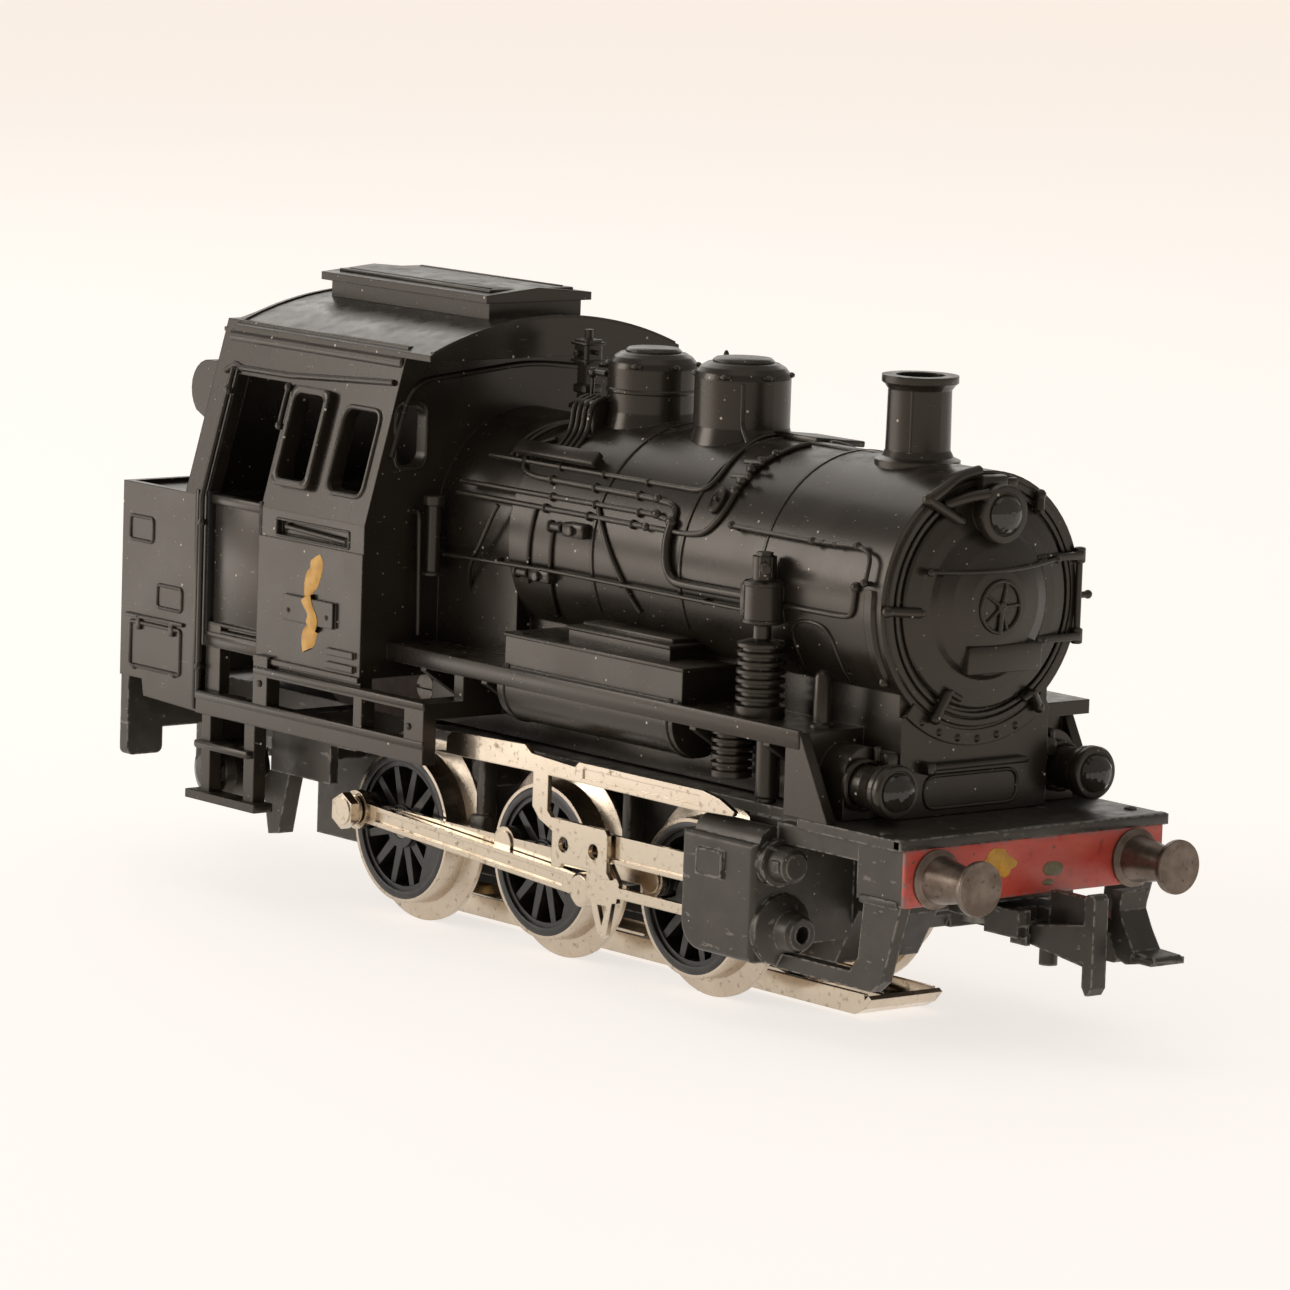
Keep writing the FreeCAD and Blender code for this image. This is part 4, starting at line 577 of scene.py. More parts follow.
def both_sides(stem, material=PLASTIC):
    """The same for a function that fills the shape of one side: it makes a right and a left piece."""
    def wrap(fill):
        def build():
            for side, name in ((RIGHT, "right"), (LEFT, "left")):
                s = Shape()
                fill(s, side)
                s.piece(stem + "_" + name, "frame", material)
        return build
    return wrap


# ---------------------------------------------------------------- boiler details
BAND_X = (7.7, 18.6)


@moulding
def boiler_bands(s):
    """Thin raised bands round the boiler, and the step to the smokebox."""
    for x, half, height in ((BAND_X[0], 0.2, 0.12), (BAND_X[1], 0.2, 0.12), (28.4, 0.16, 0.22)):
        rings = []
        for k in range(61):
            degrees = -28 + (236 * k) / 60
            rings.append([on_boiler(x - half, degrees, -0.1), on_boiler(x - half * 0.7, degrees, height),
                          on_boiler(x + half * 0.7, degrees, height), on_boiler(x + half, degrees, -0.1)])
        s.faces_from(rings)


def pipe_clip(s, x, degrees, radius, side):
    """Small ring that holds a pipe to the boiler."""
    s.lathe([(-0.12, radius), (-0.08, radius * 1.7), (0.08, radius * 1.7), (0.12, radius)],
            on_boiler(x, degrees, radius * 0.6, side), X_AXIS, 12)


@both_sides("long_pipes")
def long_pipes(s, side):
    """Pipes that run forward from the cab along the boiler's flank, on both sides."""
    upper = [(-8.0, 37), (14.5, 37.5), (18.6, 37.5), (19.6, 44), (18.9, 62), (17.6, 84), (17.6, 92)]
    second = [(-1.8, 52), (-3.6, 46), (-3.4, 33), (-1.6, 30.2), (13.6, 30), (16.8, 28.6), (17.1, 20)]
    third = [(-10.0, 22), (14.6, 22.8), (16.9, 21)]
    lowest = [(-10.0, 16.5), (19.4, 16.7), (21.3, 19), (22.6, 30), (22.4, 57), (23.1, 72), (23.3, 84)]
    for path, radius in ((upper, 0.2), (second, 0.24), (third, 0.22), (lowest, 0.23)):
        s.tube(boiler_path(path, radius * 0.7, side), radius)
    for x in (1.0, 6.5, 12.0):
        for offset, degrees, radius in ((0, 30.1, 0.24), (0.8, 22.3, 0.22),
                                        (0.4, 16.6, 0.23), (0.2, 37.2, 0.2)):
            pipe_clip(s, x + offset, degrees, radius, side)


@moulding
def valve_cluster(s):
    """Knobs and joints where the pipes meet, beside the front dome."""
    for x, degrees, size in ((17.0, 20.5, 0.5), (15.0, 22.8, 0.42), (14.4, 30, 0.4), (14.2, 16.4, 0.38),
                             (22.5, 40, 0.42), (22.4, 46, 0.5), (22.4, 53, 0.46), (22.5, 59, 0.42),
                             (22.8, 66, 0.34)):
        s.ball(on_boiler(x, degrees, 0.35), size, 12, (1.15, 0.8, 0.9))
    for degrees in (46, 55):
        a, b = on_boiler(21.5, degrees, 0.7), on_boiler(23.4, degrees + 1, 0.7)
        s.rod(a, b, 0.2)
        s.ball(b, 0.3, 10)


@moulding
def washout_covers(s):
    """Oval inspection covers with a rim, on both flanks."""
    for side in BOTH:
        centre = on_boiler(21.05, 34.5, 0.0, side)
        out = (centre - Vector((21.05, 0, BOILER_Z))).normalized()
        up = X_AXIS.cross(out).normalized()
        rings = []
        for along, grow in ((-0.2, 1.0), (0.28, 1.0), (0.4, 0.9), (0.4, 0.72), (0.26, 0.62), (0.26, 0.05)):
            across = [X_AXIS * 0.72 * math.cos(a) + up * 1.15 * math.sin(a) for a in circle(28)]
            rings.append([centre + out * along + reach * grow for reach in across])
        s.faces_from(rings)
        s.ball(centre + out * 0.45, 0.22, 10)


@moulding
def drop_pipes(s):
    """Thick pipe from the valve cluster to the air pump, and the thin pipes down the firebox."""
    to_pump = [(17.1, 20), (17.0, 12), (17.4, 0), (18.2, -5), (19.4, -5.6), (27.5, -5.2)]
    s.tube(boiler_path(to_pump, 0.3, bend=1.6), 0.37, 12)
    s.tube(boiler_path([(7.7, 21), (11.7, -10.5), (13.1, -24)], 0.12), 0.22)
    s.tube(boiler_path([(2.8, 8), (2.5, -11), (1.6, -36)], 0.12), 0.18)
    s.tube(boiler_path([(0.2, 16), (-0.3, -9), (-0.8, -20)], 0.12), 0.16)
    s.tube(boiler_path([(-4.6, 14), (-6.0, -2), (-8.6, -20), (-9.4, -34)], 0.15), 0.2)
    s.tube(boiler_path([(31.2, -6.2), (38.0, -6.1), (39.5, -5.2), (39.7, 6.5)], 0.28), 0.22)
    s.ball(on_boiler(39.7, 7.5, 0.3), 0.42, 12)


@moulding
def reach_rods(s):
    """Long thin rod on each flank with its two brackets."""
    for side in BOTH:
        s.tube(boiler_path([(-12.5, -13), (2.8, -10.8), (27.6, -11.2)], 0.5, side), 0.17)
        for x in (-4.0, 11.8, 22.0):
            s.rod(on_boiler(x, -11.2, -0.2, side), on_boiler(x, -11.2, 0.6, side), 0.22)


@moulding
def check_valves(s):
    """Two blocky valves with round caps on the firebox flank."""
    for x, degrees in ((3.4, 9.6), (-1.0, -15.2)):
        low, high = on_boiler(x, degrees - 3.4, -0.3).z, on_boiler(x, degrees + 3.4).z
        y, middle = on_boiler(x, degrees).y, (low + high) / 2
        s.box((x + 1.2, x + 3.9), (y - 0.85, y + 0.6), (low, high), 0.25)
        s.rod((x + 0.9, y - 0.45, middle), (x - 0.4, y - 0.45, middle), 0.36)
        s.rod((x - 0.35, y - 0.45, middle), (x - 0.6, y - 0.45, middle), 0.52)
        s.rod((x + 2.6, y - 0.8, middle), (x + 2.6, y - 1.25, middle), 0.4)


@both_sides("boiler_handrail")
def boiler_handrails(s, side):
    """Handrail on stanchions along the smokebox, bent down at its front end."""
    rail = [(24.3, 23.5), (34.2, 23), (39.6, 24.5), (41.2, 21.5), (41.2, 9.5)]
    s.tube(boiler_path(rail, 0.75, side, 1.4), 0.18)
    for x, degrees in ((24.6, 23.5), (34.2, 23), (39.3, 24.4), (41.15, 10)):
        s.rod(on_boiler(x, degrees, -0.2, side), on_boiler(x, degrees, 0.75, side), 0.2)
        s.ball(on_boiler(x, degrees, 0.8, side), 0.33, 10)
    for x in (35.4, 36.8):
        s.ball(on_boiler(x, 23.4, 0.75, side), 0.24, 8)


@both_sides("smokebox_strap")
def smokebox_straps(s, side):
    """Broad curved strap behind the smokebox ring, and the arched cover low on the flank."""
    rings = []
    for k in range(19):
        degrees = 7.4 - 41.1 * k / 18
        half = 0.6 if 0 < k < 18 else 0.45
        stations = ((-half, 0.05), (-half * 0.7, 0.45), (half * 0.7, 0.45), (half, 0.05))
        rings.append([on_boiler(41.35 + offset, degrees, lift, side) for offset, lift in stations])
    s.faces_from(rings)
    s.ball(on_boiler(41.35, -35, 0.35, side), 0.42, 10)
    arch = [(31.9, -40), (31.9, -17), (33.0, -11.5), (35.6, -11.5), (36.7, -17), (36.7, -40)]
    s.tube(boiler_path(arch, 0.16, side, 1.3), 0.16)


@moulding
def smokebox_posts(s):
    """Round post with a flared foot on each running board beside the smokebox."""
    for side in BOTH:
        s.lathe([(0, 1.0), (0.3, 0.95), (0.5, 0.7), (3.9, 0.65), (4.2, 0.5), (4.4, 0.25)],
                (36.3, side * 10.0, 23.2), Z_AXIS, 24)


@moulding
def top_walkway(s):
    """Narrow plate along the boiler top, between the front dome and the chimney."""
    s.box((16.8, 22.6), (0.2, 5.2), (42.55, 43.05), 0.12, (Vector((19, 2.5, 42.8)), X_AXIS, -6))
    s.box((22.4, 30.0), (-0.4, 0.6), (42.72, 42.98), 0.08)


@moulding
def turbo_box(s):
    """Small box with four fins on a tray, between the rear dome and the cab, with its pipes."""
    turn = (Vector((0, -6.4, 39.4)), X_AXIS, -42)
    s.box((-4.4, 5.4), (-7.9, -5.0), (38.7, 39.5), 0.25, turn)
    s.box((-4.6, 5.6), (-8.2, -7.5), (38.3, 39.6), 0.2, turn)
    s.box((-1.1, 1.1), (-4.8, -3.2), (41.2, 44.1), 0.2)
    for k in range(4):
        x = -1.05 + 0.7 * k
        s.tube(rounded([(x, -3.6, 44.3), (x, -5.0, 43.9), (x, -5.3, 41.6), (x, -6.6, 40.2)], 0.8), 0.22, 8)
    for offset in (0.0, 0.75):
        path = [(-1.5, 66), (-3.0 - offset, 60), (-4.2 - offset, 50), (-4.4 - offset, 38)]
        s.tube(boiler_path(path, 0.35), 0.19)


@moulding
def dome_details(s):
    """Clamps round the domes' shoulders, lid rims, lifting eye and the pipe down the front one."""
    for x, radius, shoulder in ((2.5, 3.6, 46.8), (13.7, 3.8, 47.1)):
        rim = radius - 1.6
        s.lathe([(1.1, rim + 0.2), (1.32, rim + 0.25), (1.45, rim + 0.12), (1.54, rim), (1.54, 0.01)],
                (x, 0, shoulder), Z_AXIS, 48)
        for degrees in (-62, -8, 55, 118, 172, 235):
            a = math.radians(degrees)
            out = Vector((math.cos(a), math.sin(a), 0))
            across = Vector((-out.y, out.x, 0))
            centre = Vector((x, 0, shoulder + 0.25)) + out * (radius - 0.02)
            s.ball(centre, 0.3, 10, (1, 1, 0.8))
            s.rod(centre - across * 0.55, centre + across * 0.55, 0.13)
    s.lathe([(-0.1, 3.62), (0, 3.72), (0.2, 3.72), (0.3, 3.62)], (2.5, 0, 44.9), Z_AXIS, 64, caps=False)
    s.tube(rounded([(16.6, -2.4, 46.9), (16.7, -2.45, 43.5), (17.9, -2.8, 42.4)], 0.6), 0.18)
    s.ball((10.1, 1.2, 48.3), 0.42, 12, (0.6, 0.6, 1.3))
    s.rod((10.1, 1.2, 46.6), (10.1, 1.2, 48.3), 0.2)
    s.tube(rounded([(-1.9, -2.5, 46.0), (-1.1, -2.9, 46.1), (0.2, -2.9, 46.1)], 0.4), 0.24)
    s.ball((-2.0, -2.5, 46.0), 0.45, 10)
    s.tube(rounded([(-2.0, -2.5, 46.0), (-2.2, -2.4, 43.6), (-2.4, -3.4, 42.6)], 0.4), 0.18)


@moulding
def safety_valve(s):
    """Bands, side lever and foot of the valve column at the cab front."""
    for z in (46.35, 47.75):
        s.box((-6.85, -4.8), (-1.03, 1.03), (z, z + 0.25), 0.1)
    s.box((-6.65, -4.95), (-0.85, 0.85), (43.9, 44.6), 0.15)
    s.rod((-5.8, -0.8, 47.1), (-5.8, -1.4, 47.1), 0.28)
    s.rod((-5.0, 0, 47.2), (-4.4, 0, 47.2), 0.2)
    s.lathe([(0, 1.5), (0.3, 1.45), (0.5, 1.0), (0.5, 0.1)], (-5.8, 0, 42.7), Z_AXIS, 24)


# ---------------------------------------------------------------- smokebox front
def door_clamp(s, outer, inner, cross=None):
    """Lever clamp on the smokebox ring; outer and inner are (y, z) ends of its bar."""
    start = Vector((DOOR_X + 0.05, *outer))
    end = Vector((DOOR_X + 0.25, *inner))
    s.rod(start, end, 0.36, 0.42, 12)
    s.ball(start, 0.46, 10)
    s.rod(end - X_AXIS * 0.4, end + X_AXIS * 0.45, 0.3, 0.24)
    if cross:
        s.rod(end, Vector((DOOR_X + 0.25, *cross)), 0.28)


@moulding
def smokebox_clamps(s):
    """Five lever clamps round the door and the pin on its left."""
    door_clamp(s, (-9.78, 32.87), (-6.67, 32.62))
    door_clamp(s, (-4.65, 24.45), (-3.57, 26.44), (-2.35, 25.84))
    door_clamp(s, (5.79, 24.64), (4.86, 25.87), (3.9, 25.4))
    door_clamp(s, (5.08, 40.92), (4.79, 39.77))
    door_clamp(s, (-6.18, 41.09), (-3.05, 39.4))
    s.rod((DOOR_X - 0.7, 9.5, 32.9), (DOOR_X - 0.7, 11.03, 32.9), 0.26)
    s.ball((DOOR_X - 0.7, 11.03, 32.9), 0.36, 10)


@moulding
def smokebox_hinge(s):
    """Two door straps and the upright hinge rod on the left."""
    for z, y in ((36.1, 4.6), (29.9, 4.9)):
        s.box((DOOR_X - 0.1, DOOR_X + 0.55), (y, 9.4), (z - 0.3, z + 0.3), 0.12)
        s.rod((DOOR_X, 9.4, z - 0.6), (DOOR_X, 9.4, z + 0.6), 0.45)
        s.ball((DOOR_X + 0.5, y + 0.7, z), 0.24, 8)
    s.rod((DOOR_X, 9.4, 29.35), (DOOR_X, 9.4, 36.73), 0.26)


@moulding
def door_rail(s):
    """Handrail across the door above the handwheel."""
    ends = ((-6.4, 35.75), (6.3, 36.05))
    rail = [(DOOR_X + 0.85, *ends[0]), (DOOR_X + 1.5, -3.0, 35.6), (DOOR_X + 1.75, 0, 35.6),
            (DOOR_X + 1.5, 3.0, 35.7), (DOOR_X + 0.85, *ends[1])]
    s.tube(rounded(rail, 1.5), 0.17)
    for y, z in ends:
        s.rod((DOOR_X, y, z), (DOOR_X + 0.9, y, z), 0.2)
        s.ball((DOOR_X + 0.9, y, z), 0.34, 10)


@moulding
def door_handwheel(s):
    """Low handwheel with five spokes and its locking lever below."""
    centre = Vector((DOOR_X + 1.7, 0.15, 32.85))
    rim = [centre + Vector((-0.12, 1.95 * math.cos(a), 1.95 * math.sin(a))) for a in circle(40)]
    s.tube(rim, 0.17, 10, closed=True)
    for k in range(5):
        a = math.radians(75 + 72 * k)
        s.rod(centre, centre + Vector((-0.12, 1.9 * math.cos(a), 1.9 * math.sin(a))), 0.15, steps=8)
    s.rod(centre - X_AXIS * 0.5, centre + X_AXIS * 0.2, 0.4)
    s.rod(centre, centre + Vector((0.0, -0.15, -2.1)), 0.24, 0.18)


@moulding
def blank_plate(s):
    """Blank plate standing on the door below the handwheel."""
    s.box((DOOR_X, DOOR_X + 1.5), (-2.75, 4.6), (27.85, 30.0), 0.16, (Vector((DOOR_X, 1, 29)), Y_AXIS, 3))


def lamp_bezel(s, front, y, z, radius, bore):
    """Rolled bezel round a lens; front is where the housing ends."""
    profile = [(-0.9, radius - 0.12), (-0.75, radius), (-0.12, radius), (0.05, radius - 0.12),
               (0.08, bore + 0.12), (-0.1, bore)]
    s.lathe(profile, (front, y, z), X_AXIS, 48, caps=False)


@moulding
def upper_lamp_trim(s):
    """Bezel of the top lamp, with its two curved arms and bracket."""
    low, high = node_box("upper_lamp_lens")
    lamp_bezel(s, high.x - LENS_DOME, 0, (low.z + high.z) / 2, 2.22, 1.54)
    outer_arm = [(42.9, -1.0, 43.0), (43.2, -3.3, 42.7), (43.2, -4.6, 41.9), (43.0, -5.9, 41.1)]
    inner_arm = [(43.0, -4.3, 40.6), (44.2, -2.8, 41.3), (44.8, -1.6, 41.5)]
    s.tube(rounded(outer_arm, 1.0), 0.45)
    s.tube(rounded(inner_arm, 1.0), 0.42)
    s.box((SMOKEBOX_X - 0.2, SMOKEBOX_X + 1.2), (-1.3, 1.3), (41.5, 42.7), 0.3)
    s.box((SMOKEBOX_X - 0.6, SMOKEBOX_X + 0.8), (1.5, 2.6), (41.6, 42.4), 0.2)


@moulding
def lower_lamp_trims(s):
    """Bezels, rear rings and bracket pins of the two lower lamps."""
    low, high = node_box("lower_lamp_lenses")
    front, z = high.x - LENS_DOME, (low.z + high.z) / 2
    for side in BOTH:
        y = side * (high.y - (high.z - low.z) / 2)
        lamp_bezel(s, front, y, z, 2.06, 1.53)
        s.lathe([(-4.3, 1.8), (-4.2, 2.0), (-3.8, 2.0), (-3.7, 1.8)], (front, y, z), X_AXIS, 40, caps=False)
        s.box((40.4, 42.4), side_span(side, 7.3, 8.6), (20.6, 22.0), 0.3)
        s.rod((41.4, y - side * 1.2, 21.3), (41.4, y - side * 1.2, 22.4), 0.3)


@moulding
def saddle_details(s):
    """Riveted band under the smokebox, rounded panel and step bar on the saddle's front."""
    rings = []
    for k in range(29):
        a = math.radians(-131 + 82 * k / 28)
        ring = []
        for radius, lift in ((9.6, -0.2), (9.7, 0.22), (10.9, 0.22), (11.0, -0.2)):
            ring.append((SADDLE_X + lift, radius * math.cos(a), BOILER_Z + radius * math.sin(a)))
        rings.append(ring)
    s.faces_from(rings)
    for k in range(-3, 3):
        a = math.radians(-90 + 10.8 * k)
        s.ball((SADDLE_X + 0.22, 10.4 * math.cos(a), BOILER_Z + 10.4 * math.sin(a)), 0.27, 10, (0.7, 1, 1))
    loop = [Vector((SADDLE_X, u, v)) for u, v in rectangle((-4.9, 4.4), (17.5, 20.0), 1.1)]
    s.tube(loop, 0.17, 8, closed=True)
    s.box((SADDLE_X - 0.2, SADDLE_X + 0.75), (-5.0, 5.0), (20.45, 20.95), 0.18)
    s.box((SADDLE_X - 0.2, SADDLE_X + 0.95), (-5.4, -4.5), (20.2, 21.15), 0.2)


@moulding
def chimney_trim(s):
    """Rolled lip and thin seam down the chimney."""
    s.lathe([(0, 2.8), (0.1, 2.95), (0.4, 2.95), (0.51, 2.8), (0.51, 2.35), (0.3, 2.1), (-1.2, 1.95)],
            (34.7, 0, 48.88), Z_AXIS, 56, caps=False)
    s.tube([(36.1, -2.0, 48.4), (36.1, -2.0, 43.2)], 0.1)


# ---------------------------------------------------------------- cab and bunker details
def side_loop(s, x, z, radius, tube, side, lift=0.0):
    """Raised rim round a rectangle on the cab side."""
    outline = divided([Vector((u, v, 0)) for u, v in rectangle(x, z, radius)], 1.5)
    s.tube([on_cab_side(p.x, p.y, lift, side) for p in outline], tube, 8, closed=True)


def raised_frame(s, x, z, radius, width, height, side):
    """Flat frame standing proud of the cab side round a window."""
    def loop(grow, lift):
        outline = rectangle((x[0] - grow, x[1] + grow), (z[0] - grow, z[1] + grow), radius)
        return [on_cab_side(u, v, lift, side) for u, v in outline]
    s.faces_from([loop(width, -0.2), loop(width, height - 0.1), loop(width - 0.1, height),
                  loop(0.1, height), loop(0, height - 0.1), loop(0, -0.8)], caps=False)


@both_sides("cab_windows")
def cab_windows(s, side):
    """Proud frame round the first side window and a thin rim round the second."""
    raised_frame(s, (-25.75, -21.85), (35.45, 42.3), 0.7, 0.6, 0.7, side)
    side_loop(s, (-19.5, -14.7), (35.1, 42.0), 1.0, 0.22, side)


@both_sides("half_door")
def half_doors(s, side):
    """Half door with its cap and lower rail."""
    s.box((-35.0, -27.5), side_span(side, 15.3, 16.15), (32.4, 33.2), 0.15)
    s.box((-34.3, -27.9), side_span(side, 15.3, 16.0), (22.4, 33.0), 0.1)
    for z in (21.9, 22.5):
        s.rod((-35.0, side * 16.0, z), (-27.6, side * 16.0, z), 0.2)
    s.box((-35.1, -27.4), side_span(side, 15.4, 16.3), (20.6, 21.6), 0.12)


@both_sides("door_gap_shade", INSULATOR)
def door_gap_shade(s, side):
    """Near-black strips at both edges of the half door: painted shade in the gaps."""
    for x in (-35.0, -27.55):
        s.box((x - 0.22, x + 0.22), side_span(side, 15.2, CAB_SIDE + 0.03), (21.6, 33.4), 0.04)


@both_sides("door_handrail")
def door_handrails(s, side):
    """Long upright handrail behind the doorway and the short one in front of it."""
    s.tube([on_cab_side(-35.35, z, 0.35, side) for z in (16.2, 26.0, CAB_WAIST_Z, 39.0, 43.4)], 0.24)
    s.tube([on_cab_side(-27.3, z, 0.35, side) for z in (39.2, 42.9)], 0.24)
    for x, heights in ((-35.35, (18.8, 30.8, 41.6)), (-27.3, (39.5, 42.6))):
        for z in heights:
            s.ball(on_cab_side(x, z, 0.35, side), 0.4, 10, (1, 0.9, 1))
            s.rod(on_cab_side(x, z, -0.4, side), on_cab_side(x, z, 0.3, side), 0.22)


@both_sides("cab_side")
def cab_side_details(s, side):
    """Panel, recessed handle, blank plate, double step and lower edge strip of the cab side."""
    place = cab_side_place(side)
    s.plate(rectangle((-27.6, -13.4), (20.6, 30.7), 0.1), 0.16, place)
    side_loop(s, (-25.3, -15.4), (30.95, 32.3), 0.15, 0.12, side)
    s.rod(on_cab_side(-24.2, 31.75, -0.15, side), on_cab_side(-15.9, 31.4, -0.15, side), 0.2)
    for x, z in ((-24.1, 31.75), (-16.0, 31.4)):
        s.rod(on_cab_side(x, z, -0.5, side), on_cab_side(x, z, -0.1, side), 0.3)
    s.plate(rectangle((-23.6, -16.8), (24.25, 26.35), 0.2), 0.5, place)
    for x in (-22.8, -17.6):
        s.ball(on_cab_side(x, 25.1, 0.42, side), 0.2, 8)
    for z in (21.35, 22.45):
        s.plate(rectangle((-17.7, -14.1), (z - 0.32, z + 0.22), 0.1), 0.42, place)
    s.plate(rectangle((-27.6, -13.3), (20.3, 20.75), 0.1), 0.45, place)


def brush_mark():
    """One wavy smear of yellow enamel brushed down over the plate, like old repair paint."""
    top, fall, swing, waves, steps = 29.7, 7.6, 0.5, 11.0, 60
    s = Shape()
    rings = []
    for i in range(steps + 1):
        t = i / steps
        x = -20.05 + swing * math.sin(waves * t + 0.6)
        z = top - fall * t
        slope = swing * waves * math.cos(waves * t + 0.6) / fall
        across = Vector((1, slope)).normalized()
        half = 0.72 + 0.16 * math.sin(9.0 * t) + 0.07 * math.sin(31.0 * t)
        lift = 0.56 if 24.1 < z < 26.5 else 0.2
        rings.append([on_cab_side(x + across.x * half * u, z + across.y * half * u, lift + h)
                      for u, h in ((-1, -0.08), (-0.5, 0.06), (0.5, 0.06), (1, -0.08))])
    s.faces_from(rings, close_rings=False, caps=False)
    s.piece("brush_mark", "frame", YELLOW)


@both_sides("bunker_side")
def bunker_details(s, side):
    """Square covers, the hinged hatch and the coal-rail edge of the bunker."""
    for x, z in (((-46.0, -42.7), (28.2, 30.2)), ((-41.9, -38.4), (22.9, 24.8))):
        side_loop(s, x, z, 0.4, 0.17, side)
    s.box((-46.3, -38.0), side_span(side, CAB_SIDE - 0.2, CAB_SIDE + 0.25), (21.65, 22.0), 0.1)
    side_loop(s, (-45.7, -38.5), (17.6, 21.3), 0.25, 0.2, side)
    for x in (-44.4, -39.6):
        s.box((x - 0.3, x + 0.3), side_span(side, CAB_SIDE - 0.2, CAB_SIDE + 0.3), (20.7, 21.8), 0.12)
    for x in (-45.0, -39.2):
        s.ball(on_cab_side(x, 17.5, 0.05, side), 0.26, 8)
    s.box((-36.6, -36.1), side_span(side, CAB_SIDE - 0.25, CAB_SIDE + 0.18), (15.1, 33.4), 0.1)


@moulding
def bunker_rear(s):
    """Lamp bracket, ladder rungs and beading on the bunker's rear face."""
    x = BUNKER_REAR_X
    for z in (20.0, 31.6):
        s.box((x - 0.22, x + 0.2), (-15.8, 15.8), (z - 0.2, z + 0.2), 0.1)
    for side in BOTH:
        s.box((x - 0.22, x + 0.2), side_span(side, 15.3, 15.7), (17.0, 31.6), 0.1)
        s.lathe([(0, 2.0), (0.9, 2.0), (1.1, 1.8), (1.15, 1.5), (0.9, 1.3), (0.9, 0.01)],
                (x, side * 9.95, 19.0), -X_AXIS, 36)
        s.tube(rounded([(x, side * 12.9, 22.0), (x - 0.9, side * 12.9, 22.0), (x - 0.9, side * 12.9, 29.5),
                        (x, side * 12.9, 29.5)], 0.5), 0.2)
    for z in (22.4, 25.2, 28.0):
        s.rod((x - 0.65, -2.8, z), (x - 0.65, 2.8, z), 0.22)
        for y in (-2.6, 2.6):
            s.rod((x + 0.1, y, z), (x - 0.6, y, z), 0.2)


@moulding
def cab_rear_windows(s):
    """Two round windows with rims on the cab's rear wall, above the hood."""
    for side in BOTH:
        s.lathe([(0, 1.2), (0.3, 1.25), (0.4, 1.0), (0.15, 0.8), (0.05, 0.01)],
                (CAB_REAR_X, side * 6.0, 45.6), -X_AXIS, 28)
    s.box((CAB_REAR_X - 0.3, CAB_REAR_X + 0.2), (-12.6, 12.6), (46.2, 46.6), 0.1)


def roof_height(y):
    """Top of the cab roof at the distance y from its middle."""
    crown, edge, half = 49.61, 46.9, 12.75
    radius = (half ** 2 + (crown - edge) ** 2) / (2 * (crown - edge))
    return crown - radius + math.sqrt(radius ** 2 - y ** 2)


def roof_strip(s, x):
    """Arched strip across the roof."""
    half, lift, depth, end_y, steps = 0.22, 0.12, 0.5, 12.4, 32
    rings = []
    for k in range(steps + 1):
        y = -end_y + 2 * end_y * k / steps
        low, high = roof_height(y) - depth, roof_height(y) + lift
        rings.append([(x - half, y, low), (x - half, y, high), (x + half, y, high), (x + half, y, low)])
    s.faces_from(rings)


@moulding
def roof_details(s):
    """Roof seams, the rolled eaves and the sloping rain strip over the doors and windows."""
    for x in (-36.6, -10.2):
        roof_strip(s, x)
    for side in BOTH:
        s.rod((-37.3, side * 12.35, 45.95), (-13.6, side * 12.35, 45.95), 0.62)
        strip = [(-36.7, 43.1), (-35.6, 43.75), (-34.6, 43.5), (-28.0, 43.55), (-14.0, 44.35)]
        s.tube([on_cab_side(x, z, 0.12, side) for x, z in strip], 0.26)


@moulding
def ventilator_details(s):
    """Thin framed sliding hatch on top of the roof ventilator."""
    s.box((-33.9, -13.4), (-4.3, 4.3), (51.3, 51.6), 0.1)
    for side in BOTH:
        s.box((-33.2, -14.1), side_span(side, 3.5, 3.8), (51.5, 51.7), 0.08)


@moulding
def cab_front_details(s):
    """Rim of the cab's front wall under the roof, window rims, and the pipe and tank by the firebox."""
    rim = [(-13.9, 38.5), (-12.0, 44.4), (0, 45.6), (12.0, 44.4), (13.9, 38.5)]
    s.tube(rounded([(CAB_FRONT_X + 0.1, y, z) for y, z in rim], 2.2, 8), 0.24)
    for side in BOTH:
        outline = rectangle((10.3, 13.5), (37.4, 42.8), 1.2)
        s.tube([Vector((CAB_FRONT_X, side * u, v)) for u, v in outline], 0.14, 8, closed=True)
        s.tube(rounded([(CAB_FRONT_X, side * 11.4, 34.0), (CAB_FRONT_X + 0.8, side * 11.4, 34.0),
                        (CAB_FRONT_X + 0.8, side * 11.2, 24.0)], 0.6), 0.22)
        s.lathe([(0, 0.9), (0.2, 0.9), (0.3, 0.6), (5.6, 0.6), (5.7, 0.9), (6.4, 0.9), (6.5, 0.4)],
                (CAB_FRONT_X + 1.7, side * 10.6, 29.0), Z_AXIS, 20)


# ---------------------------------------------------------------- running board details
@both_sides("board_edge")
def board_edges(s, side):
    """Raised lip along each running board, and its small brackets below."""
    s.box((-13.3, 38.2), side_span(side, BOARD_HALF - 0.25, BOARD_HALF + 0.12),
          (22.05, BOARD_TOP_Z + 0.22), 0.12)
    for x in (-9.5, -1.5, 24.6, 33.4):
        s.plate([(9.0, 22.3), (13.2, 22.3), (13.2, 21.7), (9.0, 19.0)], 0.7,
                lambda u, v, w, x=x: Vector((x + w, side * u, v)))


